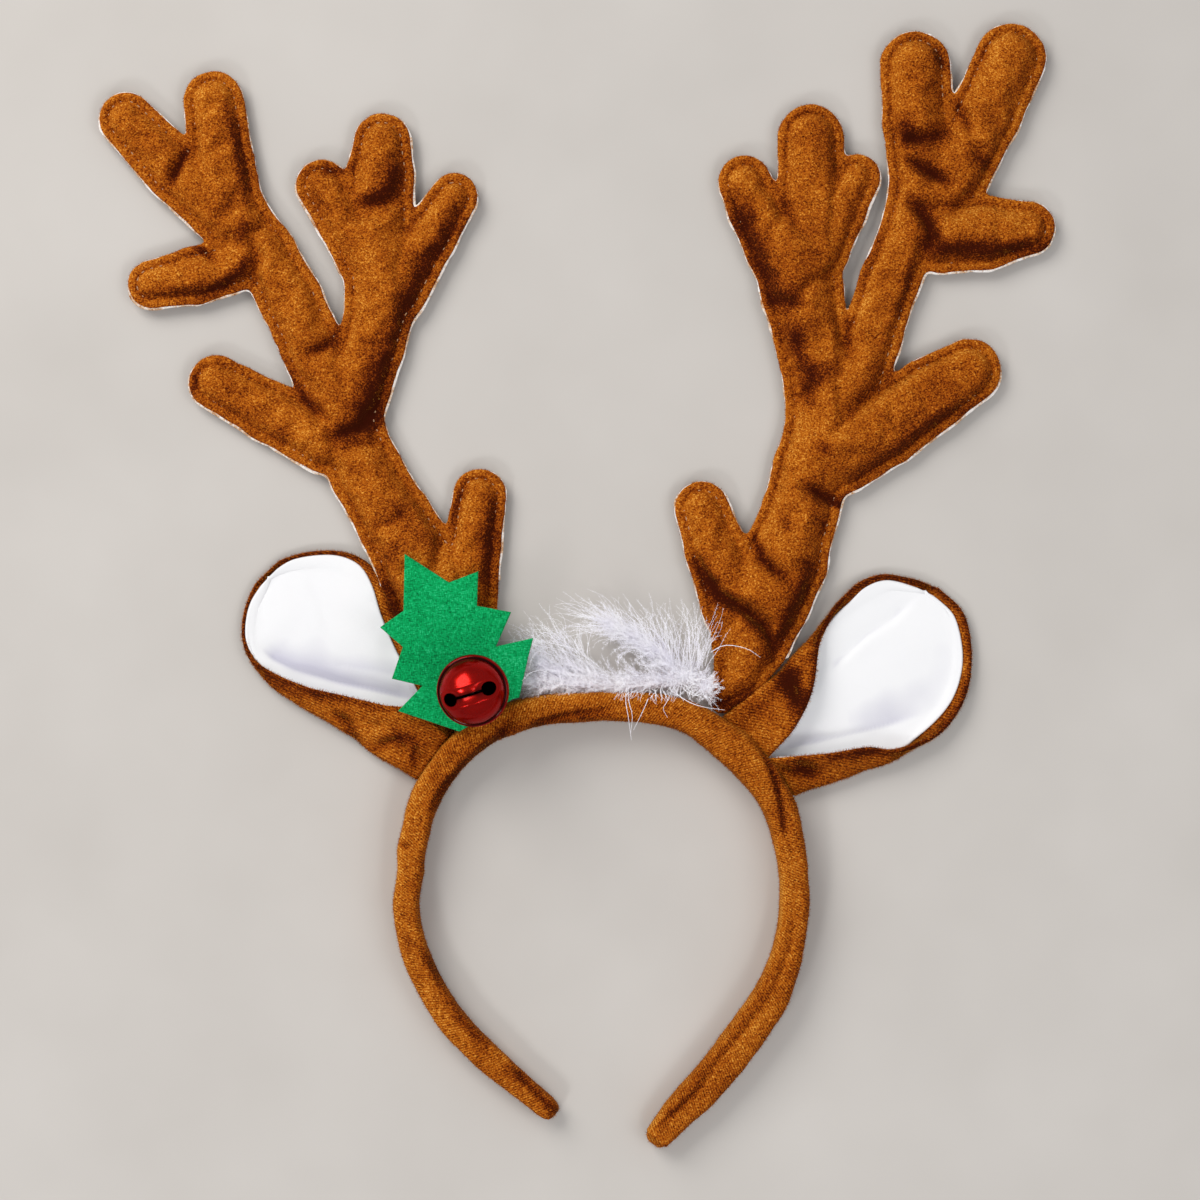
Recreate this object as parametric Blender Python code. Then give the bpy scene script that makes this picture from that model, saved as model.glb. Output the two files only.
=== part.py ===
"""Reindeer antler headband, lying flat on its edge as it does on a table.

The hoop of the headband lies in the XY plane with its open end towards -Y. The antlers, the ears,
the feather trim, the felt holly leaf and the jingle bell are all sewn to the hoop's outer face.
The origin is on the table, under the middle of the object's box. Tables are in millimetres.
"""
import math

import bmesh
import bpy
import numpy as np
from mathutils import Vector
from mathutils.geometry import delaunay_2d_cdt

MM = 0.001
CLEARANCE = 0.3

# Padded antlers: two layers of velvet, stitched a little inside the cut edge and stuffed.
SEAM_PLANE = 4.0
FLANGE_THICKNESS = 1.4
STITCH_INSET = 3.5
PUFF_ABOVE = 0.56
PUFF_BELOW = 0.50
LIMB_BLEND = 1.7
ANTLER_GRID = 7.0
OUTLINE_TOLERANCE = 0.22
TRACE_STEP = 1.2

# Limbs of each antler, from root to tip: x, y, half width.
LEFT_ANTLER = {
    "beam": ((-37.4, -37.6, 6.9), (-39.4, -28.7, 11.6), (-44.6, -11.6, 16.4), (-52.4, 4.8, 15.4),
             (-62.3, 21.9, 13.4), (-71.9, 38.2, 12.7), (-78.4, 52.6, 12.6), (-81.8, 64.2, 13.0)),
    "tine_h": ((-39.4, -8.2, 12.3), (-36.0, 12.3, 9.9), (-33.5, 30.7, 9.6)),
    "tine_a": ((-86.2, 49.9, 11.9), (-105.0, 59.4, 10.5), (-123.5, 69.7, 9.6)),
    "outer": ((-81.8, 64.2, 12.3), (-90.0, 80.6, 11.2), (-98.0, 97.7, 11.1), (-106.8, 114.1, 10.6),
              (-115.9, 125.7, 10.9)),
    "tine_c": ((-115.9, 125.7, 10.2), (-121.4, 143.8, 11.3), (-124.3, 165.6, 10.6)),
    "tine_d": ((-119.4, 124.3, 10.2), (-137.5, 142.1, 10.8), (-154.2, 159.5, 9.6)),
    "tine_b": ((-115.3, 110.6, 9.9), (-130.6, 106.0, 9.9), (-145.3, 103.1, 8.7)),
    "inner": ((-77.7, 63.5, 13.0), (-70.2, 82.3, 11.3), (-66.4, 100.4, 13.0), (-68.1, 116.5, 13.0)),
    "tine_e": ((-71.5, 113.0, 11.6), (-80.1, 126.7, 10.1), (-87.3, 136.9, 9.2)),
    "tine_f": ((-68.1, 116.5, 12.3), (-67.4, 140.4, 11.8), (-66.8, 151.6, 10.2)),
    "tine_g": ((-62.3, 101.1, 11.6), (-50.4, 119.9, 9.6), (-42.2, 132.8, 8.5)),
}
RIGHT_ANTLER = {
    "beam": ((49.2, -39.2, 4.8), (55.5, -30.4, 9.4), (59.3, -18.4, 13.7), (64.0, -4.8, 15.7),
             (70.5, 8.9, 15.2), (75.3, 23.2, 13.3), (80.1, 39.6, 13.5), (84.2, 55.0, 13.3),
             (84.2, 66.9, 13.0)),
    "tine_h": ((54.8, -6.5, 13.0), (47.3, 12.3, 10.7), (42.5, 26.6, 9.6)),
    "tine_a": ((89.6, 45.8, 14.7), (105.0, 54.6, 13.9), (120.4, 65.3, 12.9), (133.7, 73.4, 11.4)),
    "outer": ((92.4, 63.5, 12.6), (100.2, 84.7, 10.5), (106.7, 104.5, 10.4), (114.1, 121.6, 10.7),
              (117.0, 133.5, 11.2)),
    "tine_c": ((118.0, 133.5, 11.1), (116.3, 159.1, 12.3), (115.4, 177.6, 12.3)),
    "tine_d": ((127.2, 136.9, 12.3), (139.2, 160.8, 12.3), (148.0, 180.3, 12.3)),
    "tine_b": ((123.8, 119.9, 13.3), (139.2, 120.6, 12.8), (153.8, 122.3, 9.6)),
    "inner": ((84.2, 63.5, 13.0), (80.1, 84.0, 12.9), (76.8, 101.1, 14.3), (73.9, 114.7, 15.0)),
    "tine_g": ((68.5, 114.7, 11.4), (61.3, 128.4, 9.9), (57.2, 138.2, 9.3)),
    "tine_f": ((79.4, 114.7, 13.0), (80.1, 135.2, 12.0), (79.7, 153.3, 11.6)),
    "tine_e": ((82.6, 114.7, 10.6), (89.5, 128.4, 9.3), (95.6, 139.7, 8.2)),
}

# Folds pressed into the stuffing: x, y at both ends, depth, half width.
LEFT_FOLDS = (
    (-113.0, 103.5, -96.0, 119.0, 3.0, 2.6),
    (-135.5, 149.5, -138.0, 141.0, 2.4, 2.4),
    (-80.0, 90.0, -79.0, 78.0, 2.6, 2.6),
    (-97.0, 69.5, -88.0, 62.5, 2.4, 2.6),
    (-47.0, 19.0, -47.5, 7.0, 2.6, 2.8),
    (-79.0, 44.0, -62.0, 49.0, 2.6, 3.4),
    (-73.0, 133.5, -58.0, 137.0, 2.2, 3.2),
    (-112.0, 129.0, -104.5, 124.0, 2.0, 2.6),
)
RIGHT_FOLDS = (
    (78.0, 34.5, 92.0, 24.5, 4.6, 3.0),
    (61.0, 18.0, 72.5, 3.5, 3.0, 3.0),
    (51.0, -5.5, 66.5, -17.5, 3.2, 2.8),
    (92.0, 90.0, 92.5, 79.0, 2.6, 2.6),
    (107.0, 75.5, 99.0, 68.0, 2.4, 2.6),
    (129.0, 165.5, 133.0, 152.0, 2.4, 2.4),
    (68.0, 130.0, 70.5, 120.0, 2.2, 2.4),
    (94.5, 145.5, 88.5, 136.0, 2.0, 2.2),
    (110.0, 139.5, 128.0, 134.0, 2.4, 3.2),
    (121.0, 127.5, 131.0, 113.5, 2.4, 3.4),
)

# Hoop of the headband from the left tip over the crown to the right tip:
# x, y of the middle, thickness across the hoop, height above the table.
BAND_SECTIONS = (
    (-7.3, -180.8, 7.2, 9.0), (-24.8, -166.1, 8.8, 9.6), (-36.1, -155.6, 9.4, 10.2),
    (-46.0, -143.8, 9.4, 10.8), (-54.5, -127.7, 9.0, 12.0), (-58.2, -111.3, 8.6, 13.0),
    (-57.0, -97.0, 8.7, 13.6), (-55.7, -86.4, 9.6, 14.0), (-50.4, -69.3, 10.0, 14.6),
    (-36.7, -52.6, 10.6, 15.0), (-19.6, -44.0, 10.2, 15.0), (7.7, -41.0, 9.6, 15.0),
    (35.0, -43.7, 10.4, 15.0), (55.0, -57.2, 12.4, 15.0), (67.6, -73.1, 11.2, 14.6),
    (72.6, -90.2, 9.8, 14.2), (73.9, -105.5, 9.7, 13.6), (72.6, -120.2, 10.0, 13.0),
    (66.9, -138.1, 11.9, 12.2), (56.5, -154.2, 12.6, 11.4), (44.5, -169.5, 12.4, 10.6),
    (34.3, -180.0, 10.8, 10.0), (25.3, -190.6, 8.0, 9.0),
)
# Cross-section of the covered hoop: across from -1 to 1, height from 0 to 1. The notch on top is
# the sleeve's hand-sewn seam.
BAND_PROFILE = (
    (-0.60, 0.0), (0.60, 0.0), (0.90, 0.07), (1.0, 0.25), (1.0, 0.70), (0.86, 0.93), (0.50, 1.0),
    (0.14, 0.985), (0.0, 0.90), (-0.14, 0.985), (-0.50, 1.0), (-0.86, 0.93), (-1.0, 0.70),
    (-1.0, 0.25), (-0.90, 0.07),
)
BAND_STEPS = 2
TIP_ROUNDING = ((0.0, 0.55), (0.9, 0.80), (2.6, 0.95))

# Ears, from the gathered base at the hoop to the rounded tip. Each row holds the bend of side a
# (x, y), the rim of side a (x, y, z), the rim of side b (x, y, z), the bend of side b (x, y) and
# the velvet left bare inside the rims of a and b. Where a bend lies outside its rim, that side
# is curled over.
LEFT_EAR = (
    (-55.2, -65.9, -51.9, -60.4, 9.0, -46.3, -52.4, 8.5, -43.4, -49.6, 1.0, 1.0),
    (-61.9, -61.2, -57.9, -51.5, 10.5, -50.8, -42.6, 7.5, -48.6, -40.8, 1.0, 1.0),
    (-72.2, -55.0, -66.2, -43.2, 10.5, -54.2, -30.8, 4.4, -55.8, -32.6, 1.0, 1.6),
    (-84.5, -46.8, -78.2, -39.6, 10.0, -59.0, -18.8, 1.8, -61.6, -20.8, 1.0, 2.4),
    (-96.1, -40.6, -91.2, -36.6, 8.4, -64.0, -7.6, 1.3, -66.8, -9.8, 1.0, 2.2),
    (-105.2, -33.6, -103.6, -33.2, 6.0, -68.4, 2.2, 1.3, -71.0, -0.6, 1.6, 2.0),
    (-110.6, -26.0, -111.6, -27.0, 4.0, -73.6, 8.5, 1.4, -76.4, 4.8, 2.0, 2.0),
    (-112.4, -17.8, -114.6, -18.8, 2.6, -82.0, 11.7, 1.4, -84.0, 7.8, 1.6, 1.8),
    (-111.2, -8.6, -114.0, -9.0, 1.8, -92.2, 11.4, 1.4, -93.0, 7.6, 1.6, 1.6),
    (-108.4, -2.4, -110.6, -0.6, 1.4, -101.5, 8.6, 1.3, -102.6, 5.6, 1.4, 1.4),
    (-107.0, 2.2, -108.0, 3.2, 1.3, -105.6, 5.8, 1.3, -105.8, 4.4, 0.4, 0.4),
)
RIGHT_EAR = (
    (59.0, -48.6, 64.0, -56.8, 9.0, 66.6, -60.4, 9.0, 75.6, -70.8, 1.0, 1.0),
    (64.0, -38.6, 69.4, -49.0, 10.5, 74.8, -57.4, 10.5, 79.0, -68.4, 1.0, 1.0),
    (68.5, -31.2, 75.4, -41.4, 10.5, 85.6, -56.2, 10.5, 85.2, -65.9, 1.0, 1.0),
    (74.0, -23.4, 78.2, -31.6, 9.4, 97.2, -55.2, 9.8, 95.4, -62.8, 1.0, 1.0),
    (80.4, -16.4, 81.0, -19.0, 7.0, 108.2, -54.4, 8.0, 107.0, -57.7, 5.6, 3.0),
    (86.8, -10.2, 86.2, -9.4, 5.0, 120.2, -50.2, 5.6, 119.4, -48.4, 5.0, 4.6),
    (93.4, -5.8, 91.7, -3.8, 3.6, 129.6, -40.0, 4.0, 127.2, -37.4, 4.0, 4.0),
    (99.4, -2.4, 97.5, 1.0, 2.2, 134.0, -26.0, 2.8, 130.8, -25.0, 3.0, 3.4),
    (106.6, 0.2, 105.4, 3.4, 1.6, 132.3, -10.2, 1.8, 129.2, -10.4, 2.2, 3.0),
    (115.0, -0.6, 114.9, 2.2, 1.3, 124.6, -2.0, 1.3, 122.8, -3.8, 1.8, 2.0),
    (118.2, 0.2, 118.6, 1.3, 1.2, 121.4, 0.1, 1.2, 120.9, -0.6, 0.4, 0.4),
)
CURL_SHARE = 0.42
KEEL_SHARE = 0.18
EAR_VELVET = 1.2
EAR_SATIN = 1.0
EAR_LAYER_GAP = 0.5
EAR_STEPS_LONG = 2
EAR_STEPS_ACROSS = 11

# Felt holly leaf: corners x, y, going round.
LEAF_CORNERS = (
    (-58.6, 10.9), (-43.5, 1.2), (-33.6, 5.0), (-34.0, -6.7), (-22.4, -8.9), (-27.5, -20.5),
    (-14.9, -17.6), (-16.6, -24.1), (-19.6, -37.8), (-21.7, -38.2), (-33.0, -45.4),
    (-39.8, -49.2), (-60.6, -42.3), (-52.4, -33.8), (-62.7, -31.4), (-59.1, -20.7),
    (-66.8, -14.0), (-58.9, -8.4),
)
LEAF_THICKNESS = 1.6
LEAF_TOP_Y = 10.9
LEAF_LOW_Z = 10.95
LEAF_SLOPE = 0.083

# Jingle bell of pressed metal with two round holes joined by a slot.
BELL_CENTRE = (-35.7, -36.1)
BELL_RADIUS = 12.1
BELL_WALL = 0.8
BELL_UPPER_RADIUS = 10.9
BELL_RING_TOP = 1.9
BELL_SIDES = 28
BELL_HOLE_RADIUS = 1.85
BELL_SLOT_WIDTH = 1.3
BELL_HOLE_ANGLE = math.radians(33.0)
BELL_TILT = math.radians(11.5)
BELL_TILT_TOWARDS = math.radians(212.0)
BELL_SLOT_TURN = math.radians(17.0)
SHANK_RADIUS = 1.6
SHANK_LENGTH = 2.0
PELLET_RADIUS = 2.6

# Feather trim: downy locks on a core cord along the crown. Each row is a lock: x, y and half
# width at the root, x, y and half width at the tip.
FEATHER_LOCKS = (
    (-17.0, -32.6, 3.4, -22.6, -29.6, 1.3), (-14.0, -31.6, 4.0, -20.4, -17.2, 1.2),
    (-9.5, -31.0, 4.2, -13.4, -10.2, 1.2), (-4.0, -30.6, 4.0, -4.8, -1.2, 1.0),
    (3.0, -31.0, 3.8, 3.2, -9.4, 1.2), (9.0, -30.8, 4.0, 10.4, -3.6, 1.0),
    (15.5, -31.0, 4.4, 20.4, -7.4, 1.2), (22.0, -29.8, 4.2, 25.6, -5.4, 1.2),
    (28.0, -30.6, 4.2, 32.6, -3.4, 1.0), (33.0, -31.8, 4.2, 40.4, -8.4, 1.1),
    (37.0, -34.0, 3.4, 42.4, -17.0, 1.1),
)
FEATHER_CORE = ((-19.0, -34.4, 2.2), (-8.0, -32.4, 2.6), (8.0, -31.8, 2.8), (22.0, -32.3, 2.8),
                (33.0, -33.8, 2.6), (39.0, -35.8, 2.0))
FEATHER_PLANE = 7.0
FEATHER_EDGE = 1.0
FEATHER_PUFF = 1.35
FEATHER_GRID = 4.5


def clear_scene():
    for item in list(bpy.data.objects):
        bpy.data.objects.remove(item, do_unlink=True)


def make_material(name, color, roughness, metallic=0.0, sheen=0.0):
    """A Principled material with the piece's own colour."""
    material = bpy.data.materials.new(name)
    material.use_nodes = True
    shader = material.node_tree.nodes["Principled BSDF"]
    shader.inputs["Base Color"].default_value = (*color, 1.0)
    shader.inputs["Roughness"].default_value = roughness
    shader.inputs["Metallic"].default_value = metallic
    shader.inputs["Sheen Weight"].default_value = sheen
    material.diffuse_color = (*color, 1.0)
    return material


def turn_outward(mesh):
    """Point every face out of its closed skin."""
    shape = bmesh.new()
    shape.from_mesh(mesh)
    bmesh.ops.recalc_face_normals(shape, faces=shape.faces)
    shape.to_mesh(mesh)
    shape.free()


def add_object(name, points, faces, material, sharp_angle=40.0):
    """A closed mesh object from points in millimetres, smooth but for its sharp edges."""
    mesh = bpy.data.meshes.new(name)
    mesh.from_pydata([tuple(point * MM) for point in np.asarray(points, float)], [], faces)
    turn_outward(mesh)
    mesh.materials.append(material)
    mesh.shade_smooth()
    mesh.set_sharp_from_angle(angle=math.radians(sharp_angle))
    mesh.update()
    item = bpy.data.objects.new(name, mesh)
    bpy.context.scene.collection.objects.link(item)
    return item


def through_points(rows, steps):
    """A Catmull-Rom curve through the rows of a table, each span cut into steps."""
    rows = np.asarray(rows, float)
    padded = np.vstack([2 * rows[0] - rows[1], rows, 2 * rows[-1] - rows[-2]])
    curve = []
    for index in range(1, len(padded) - 2):
        before, start, end, after = padded[index - 1:index + 3]
        for t in np.arange(steps) / steps:
            curve.append(0.5 * (2 * start + (end - before) * t
                                + (2 * before - 5 * start + 4 * end - after) * t ** 2
                                + (3 * start - before - 3 * end + after) * t ** 3))
    curve.append(rows[-1])
    return np.array(curve)


def limb_spans(limbs):
    """Every straight span of every limb: start, end and the half widths there."""
    for rows in limbs.values():
        for start, end in zip(rows[:-1], rows[1:]):
            yield np.array(start[:2]), np.array(end[:2]), start[2], end[2]


def distance_field(points, limbs):
    """Signed distance to the joined limbs, negative inside, with softly rounded crotches."""
    total = np.full(len(points), 1e6)
    for start, end, width_start, width_end in limb_spans(limbs):
        run = end - start
        t = np.clip((points - start) @ run / (run @ run), 0.0, 1.0)
        gap = np.linalg.norm(points - start - t[:, None] * run, axis=1)
        gap -= width_start + t * (width_end - width_start)
        blend = np.maximum(LIMB_BLEND - np.abs(total - gap), 0.0) / LIMB_BLEND
        total = np.minimum(total, gap) - blend ** 2 * LIMB_BLEND / 4
    return total


def puff_height(points, limbs, inset):
    """Height of the stuffing over its seam: an oval over each limb, the highest one wins."""
    height = np.zeros(len(points))
    for start, end, width_start, width_end in limb_spans(limbs):
        run = end - start
        t = np.clip((points - start) @ run / (run @ run), 0.0, 1.0)
        gap = np.linalg.norm(points - start - t[:, None] * run, axis=1)
        width = width_start + t * (width_end - width_start) - inset
        rise = width * np.sqrt(np.clip(1.0 - (gap / width) ** 2, 0.0, 1.0))
        height = np.maximum(height, rise)
    return height


def fold_depth(points, folds):
    """Depth that the folds take off the stuffing."""
    depth = np.zeros(len(points))
    for x1, y1, x2, y2, deep, half_width in folds:
        start, run = np.array((x1, y1)), np.array((x2 - x1, y2 - y1))
        t = np.clip((points - start) @ run / (run @ run), 0.0, 1.0)
        gap = np.linalg.norm(points - start - t[:, None] * run, axis=1)
        depth = np.maximum(depth, deep * np.exp(-(gap / half_width) ** 2))
    return depth


def trace_outline(limbs, level):
    """The closed loops where the distance field has the given level, by marching squares."""
    ends = np.array([row for rows in limbs.values() for row in rows])
    margin = ends[:, 2].max() + 4 * TRACE_STEP
    low, high = ends[:, :2].min(axis=0) - margin, ends[:, :2].max(axis=0) + margin
    xs = np.arange(low[0], high[0], TRACE_STEP)
    ys = np.arange(low[1], high[1], TRACE_STEP)
    grid = np.stack(np.meshgrid(xs, ys, indexing="ij"), axis=-1)
    values = distance_field(grid.reshape(-1, 2), limbs).reshape(len(xs), len(ys)) - level
    values[values == 0.0] = 1e-9

    def crossing(a, b):
        share = values[a] / (values[a] - values[b])
        return tuple(grid[a] + share * (grid[b] - grid[a]))

    links = {}
    inside = values < 0
    mixed = inside[:-1, :-1].astype(int) + inside[1:, :-1] + inside[1:, 1:] + inside[:-1, 1:]
    for i, j in zip(*np.nonzero((mixed > 0) & (mixed < 4))):
        corners = ((i, j), (i + 1, j), (i + 1, j + 1), (i, j + 1))
        cuts = []
        for first, second in zip(corners, corners[1:] + corners[:1]):
            if inside[first] != inside[second]:
                key = (min(first, second), max(first, second))
                cuts.append((key, crossing(*key)))
        for one, two in zip(cuts[0::2], cuts[1::2]):
            links.setdefault(one[0], []).append(two)
            links.setdefault(two[0], []).append(one)
    loops = []
    while links:
        key = next(iter(links))
        loop = []
        while key in links:
            nexts = links.pop(key)
            step = next((n for n in nexts if n[0] in links), None)
            if step is None:
                break
            key = step[0]
            loop.append(step[1])
        if len(loop) > 8:
            loops.append(np.array(loop))
    return loops


def thin_out(loop, tolerance):
    """A closed loop with only the points that its shape needs."""
    far = int(np.argmax(np.linalg.norm(loop - loop[0], axis=1)))

    def reduce(points):
        start, end = points[0], points[-1]
        run = end - start
        length = np.linalg.norm(run)
        offsets = points - start
        off = np.abs(run[0] * offsets[:, 1] - run[1] * offsets[:, 0]) / max(length, 1e-9)
        worst = int(np.argmax(off))
        if off[worst] <= tolerance:
            return [start, end]
        return reduce(points[:worst + 1])[:-1] + reduce(points[worst:])

    first = reduce(loop[:far + 1])
    second = reduce(np.vstack([loop[far:], loop[:1]]))
    return np.array(first[:-1] + second[:-1])


def triangulate(loops, inner_points):
    """Triangles between the outer loop, the rings inside it and the loose inner points."""
    coords, edges = [], []
    for loop in loops:
        base = len(coords)
        coords += [Vector(point) for point in loop]
        edges += [(base + i, base + (i + 1) % len(loop)) for i in range(len(loop))]
    coords += [Vector(point) for point in inner_points]
    verts, _, faces, _, _, _ = delaunay_2d_cdt(coords, edges, [], 1, 1e-5)
    flat = np.array([tuple(v) for v in verts])
    wound = []
    for a, b, c in faces:
        turn = np.cross(flat[b] - flat[a], flat[c] - flat[a])
        wound.append((a, b, c) if turn > 0 else (a, c, b))
    return flat, wound


def close_sheet(flat, faces, upper, lower):
    """A closed body between two heights over one flat triangulation."""
    count = len(flat)
    points = np.vstack([np.column_stack([flat, upper]), np.column_stack([flat, lower])])
    directed = {(face[i], face[(i + 1) % 3]) for face in faces for i in range(3)}
    rim = [(a, b) for a, b in directed if (b, a) not in directed]
    skin = [tuple(face) for face in faces]
    skin += [(a + count, c + count, b + count) for a, b, c in faces]
    skin += [(b, a, a + count, b + count) for a, b in rim]
    return points, skin


def inner_grid(limbs, pitch, inset):
    """Points of a triangular grid that lie deeper inside the limbs than the inset."""
    ends = np.array([row for rows in limbs.values() for row in rows])
    low, high = ends[:, :2].min(axis=0) - 20.0, ends[:, :2].max(axis=0) + 20.0
    rows = np.arange(low[1], high[1], pitch * math.sqrt(0.75))
    columns = np.arange(low[0], high[0], pitch)
    grid = np.array([(x + 0.5 * pitch * (j % 2), y) for j, y in enumerate(rows) for x in columns])
    return grid[distance_field(grid, limbs) < -inset]


def build_antler(name, limbs, folds, material):
    """One padded antler: flat stitched flange all round, puffed middle, flattened underneath."""
    outer = [thin_out(loop, OUTLINE_TOLERANCE) for loop in trace_outline(limbs, 0.0)]
    stitch = [thin_out(loop, OUTLINE_TOLERANCE) for loop in trace_outline(limbs, -STITCH_INSET)]
    middle = inner_grid(limbs, ANTLER_GRID, STITCH_INSET + 0.45 * ANTLER_GRID)
    flat, faces = triangulate(outer + stitch, middle)
    depth = -distance_field(flat, limbs) - STITCH_INSET
    soft = np.clip(depth / 2.0, 0.0, 1.0)
    puff = puff_height(flat, limbs, STITCH_INSET)
    above = np.maximum(PUFF_ABOVE * puff - fold_depth(flat, folds), 0.4) * soft
    below = PUFF_BELOW * puff * soft
    upper = SEAM_PLANE + FLANGE_THICKNESS / 2 + above
    lower = np.maximum(SEAM_PLANE - FLANGE_THICKNESS / 2 - below, 0.0)
    points, skin = close_sheet(flat, faces, upper, lower)
    return add_object(name, points, skin, material, 50.0)


def band_curve():
    """Middle line, thickness and height of the hoop at every section, rounded at both tips."""
    rows = through_points(BAND_SECTIONS, BAND_STEPS)
    for end, step in ((0, 1), (-1, -1)):
        run = rows[end + step, :2] - rows[end, :2]
        run /= np.linalg.norm(run)
        tips = []
        for along, share in TIP_ROUNDING:
            row = rows[end].copy()
            row[:2] += run * along
            row[2:] *= share
            tips.append(row)
        if end == 0:
            rows = np.vstack([tips, rows[1:]])
        else:
            rows = np.vstack([rows[:-1], tips[::-1]])
    return rows


def build_band(material):
    """The velvet-covered hoop, standing on its edge."""
    rows = band_curve()
    runs = np.gradient(rows[:, :2], axis=0)
    runs /= np.linalg.norm(runs, axis=1)[:, None]
    points = []
    for (x, y, thick, tall), (dx, dy) in zip(rows, runs):
        for across, height in BAND_PROFILE:
            side = across * thick / 2
            points.append((x + dy * side, y - dx * side, height * tall))
    size = len(BAND_PROFILE)
    faces = []
    for ring in range(len(rows) - 1):
        for i in range(size):
            a, b = ring * size + i, ring * size + (i + 1) % size
            faces.append((a, b, b + size, a + size))
    last = (len(rows) - 1) * size
    faces.append(tuple(range(size))[::-1])
    faces.append(tuple(last + i for i in range(size)))
    return add_object("band", points, faces, material, 50.0)


def ear_surface(rows):
    """Grid of points on the outer velvet face of an ear, long way by across, and the widths of
    velvet left bare inside both rims at each step of the long way."""
    sections = []
    for row in rows:
        bend_a, rim_a = np.array((*row[0:2], CURL_SHARE * row[4])), np.array(row[2:5])
        rim_b, bend_b = np.array(row[5:8]), np.array((*row[8:10], CURL_SHARE * row[7]))
        keel_a = bend_a + KEEL_SHARE * (bend_b - bend_a)
        keel_b = bend_b + KEEL_SHARE * (bend_a - bend_b)
        keel_a[2] = keel_b[2] = 0.0
        sections.append([*rim_a, *bend_a, *keel_a, *keel_b, *bend_b, *rim_b, *row[10:]])
    grid, bare = [], []
    for section in through_points(sections, EAR_STEPS_LONG):
        fine = through_points(section[:-2].reshape(-1, 3), 8)
        fine[:, 2] = np.maximum(fine[:, 2], 0.0)
        reach = np.concatenate([[0], np.cumsum(np.linalg.norm(np.diff(fine, axis=0), axis=1))])
        even = np.linspace(0.0, reach[-1], EAR_STEPS_ACROSS)
        grid.append(np.column_stack([np.interp(even, reach, fine[:, k]) for k in range(3)]))
        bare.append(section[-2:])
    return np.array(grid), np.array(bare)


def grid_normals(grid):
    """Unit normals of a grid of points, pointing to the open side of the ear."""
    along = np.gradient(grid, axis=0)
    across = np.gradient(grid, axis=1)
    normals = np.cross(across, along)
    normals /= np.linalg.norm(normals, axis=2)[..., None]
    if normals[..., 2].mean() < 0:
        normals = -normals
    return normals


def build_ear_layer(name, rows, depth_low, depth_high, is_lining, material):
    """One layer of an ear between two depths from its outer face. A lining stops short of the
    rims and of both ends."""
    grid, bare = ear_surface(rows)
    normals = grid_normals(grid)
    if is_lining:
        for edge, inside, width in ((0, 1, bare[:, 0]), (-1, -2, bare[:, 1])):
            span = np.linalg.norm(grid[:, inside] - grid[:, edge], axis=1)
            share = np.minimum(width / span, 0.9)[:, None]
            grid[:, edge] += share * (grid[:, inside] - grid[:, edge])
            normals[:, edge] += share * (normals[:, inside] - normals[:, edge])
        grid, normals = grid[1:-2], normals[1:-2]
    low, high = grid + depth_low * normals, grid + depth_high * normals
    longs, wide = grid.shape[:2]
    count = longs * wide
    points = np.vstack([low.reshape(-1, 3), high.reshape(-1, 3)])
    faces = []
    for i in range(longs - 1):
        for j in range(wide - 1):
            a, b = i * wide + j, i * wide + j + 1
            for one, two, three in ((a, b, b + wide), (a, b + wide, a + wide)):
                faces.append((one, two, three))
                faces.append((one + count, three + count, two + count))
    rim = [(i, i + 1) for i in range(wide - 1)]
    rim += [(i * wide + wide - 1, (i + 1) * wide + wide - 1) for i in range(longs - 1)]
    rim += [(count - 1 - i, count - 2 - i) for i in range(wide - 1)]
    rim += [((longs - 1 - i) * wide, (longs - 2 - i) * wide) for i in range(longs - 1)]
    for a, b in rim:
        faces.append((b, a, a + count, b + count))
    return add_object(name, points, faces, material, 60.0)


def leaf_base(points):
    """Height of the leaf's underside: it leans on the antler and climbs to the hoop."""
    return LEAF_LOW_Z + LEAF_SLOPE * (LEAF_TOP_Y - points[:, 1])


def build_leaf(material):
    """The felt leaf, cut from one sheet."""
    corners = np.array(LEAF_CORNERS)[::-1]
    flat, faces = triangulate([corners], [])
    lower = leaf_base(flat)
    points, skin = close_sheet(flat, faces, lower + LEAF_THICKNESS, lower)
    return add_object("holly_leaf", points, skin, material, 30.0)


def dome_points(radius_across, radius_up, base, top_angle, steps):
    """Points of an oval dome's profile from its base to its top: radius, height."""
    angles = np.linspace(0.0, top_angle, steps)
    return [(radius_across * math.cos(a), base + radius_up * math.sin(a)) for a in angles]


def bell_profile():
    """Profiles of the bell's outer skin, shank first, and of its hollow, top first."""
    lower = [(r, -z) for r, z in dome_points(BELL_RADIUS, BELL_RADIUS, 0.0,
                                             math.acos(SHANK_RADIUS / BELL_RADIUS), 8)][::-1]
    shank_end = -BELL_RADIUS - SHANK_LENGTH
    outer = [(0.0, shank_end), (SHANK_RADIUS, shank_end)] + lower
    outer += [(BELL_RADIUS, 1.2), (BELL_UPPER_RADIUS + 0.3, BELL_RING_TOP)]
    rise = BELL_RADIUS - BELL_RING_TOP
    outer += dome_points(BELL_UPPER_RADIUS, rise, BELL_RING_TOP, math.pi / 2, 7)[:-1]
    outer.append((0.0, BELL_RADIUS))
    inside = BELL_UPPER_RADIUS - BELL_WALL
    inner = dome_points(inside, rise - BELL_WALL, BELL_RING_TOP, math.pi / 2, 6)[:-1][::-1]
    inner = [(0.0, BELL_RADIUS - BELL_WALL)] + inner
    low_inside = BELL_RADIUS - BELL_WALL
    inner += [(r, -z) for r, z in dome_points(low_inside, low_inside, 0.0, math.pi / 2, 8)[:-1]]
    inner.append((0.0, -low_inside))
    return outer, inner


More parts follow.
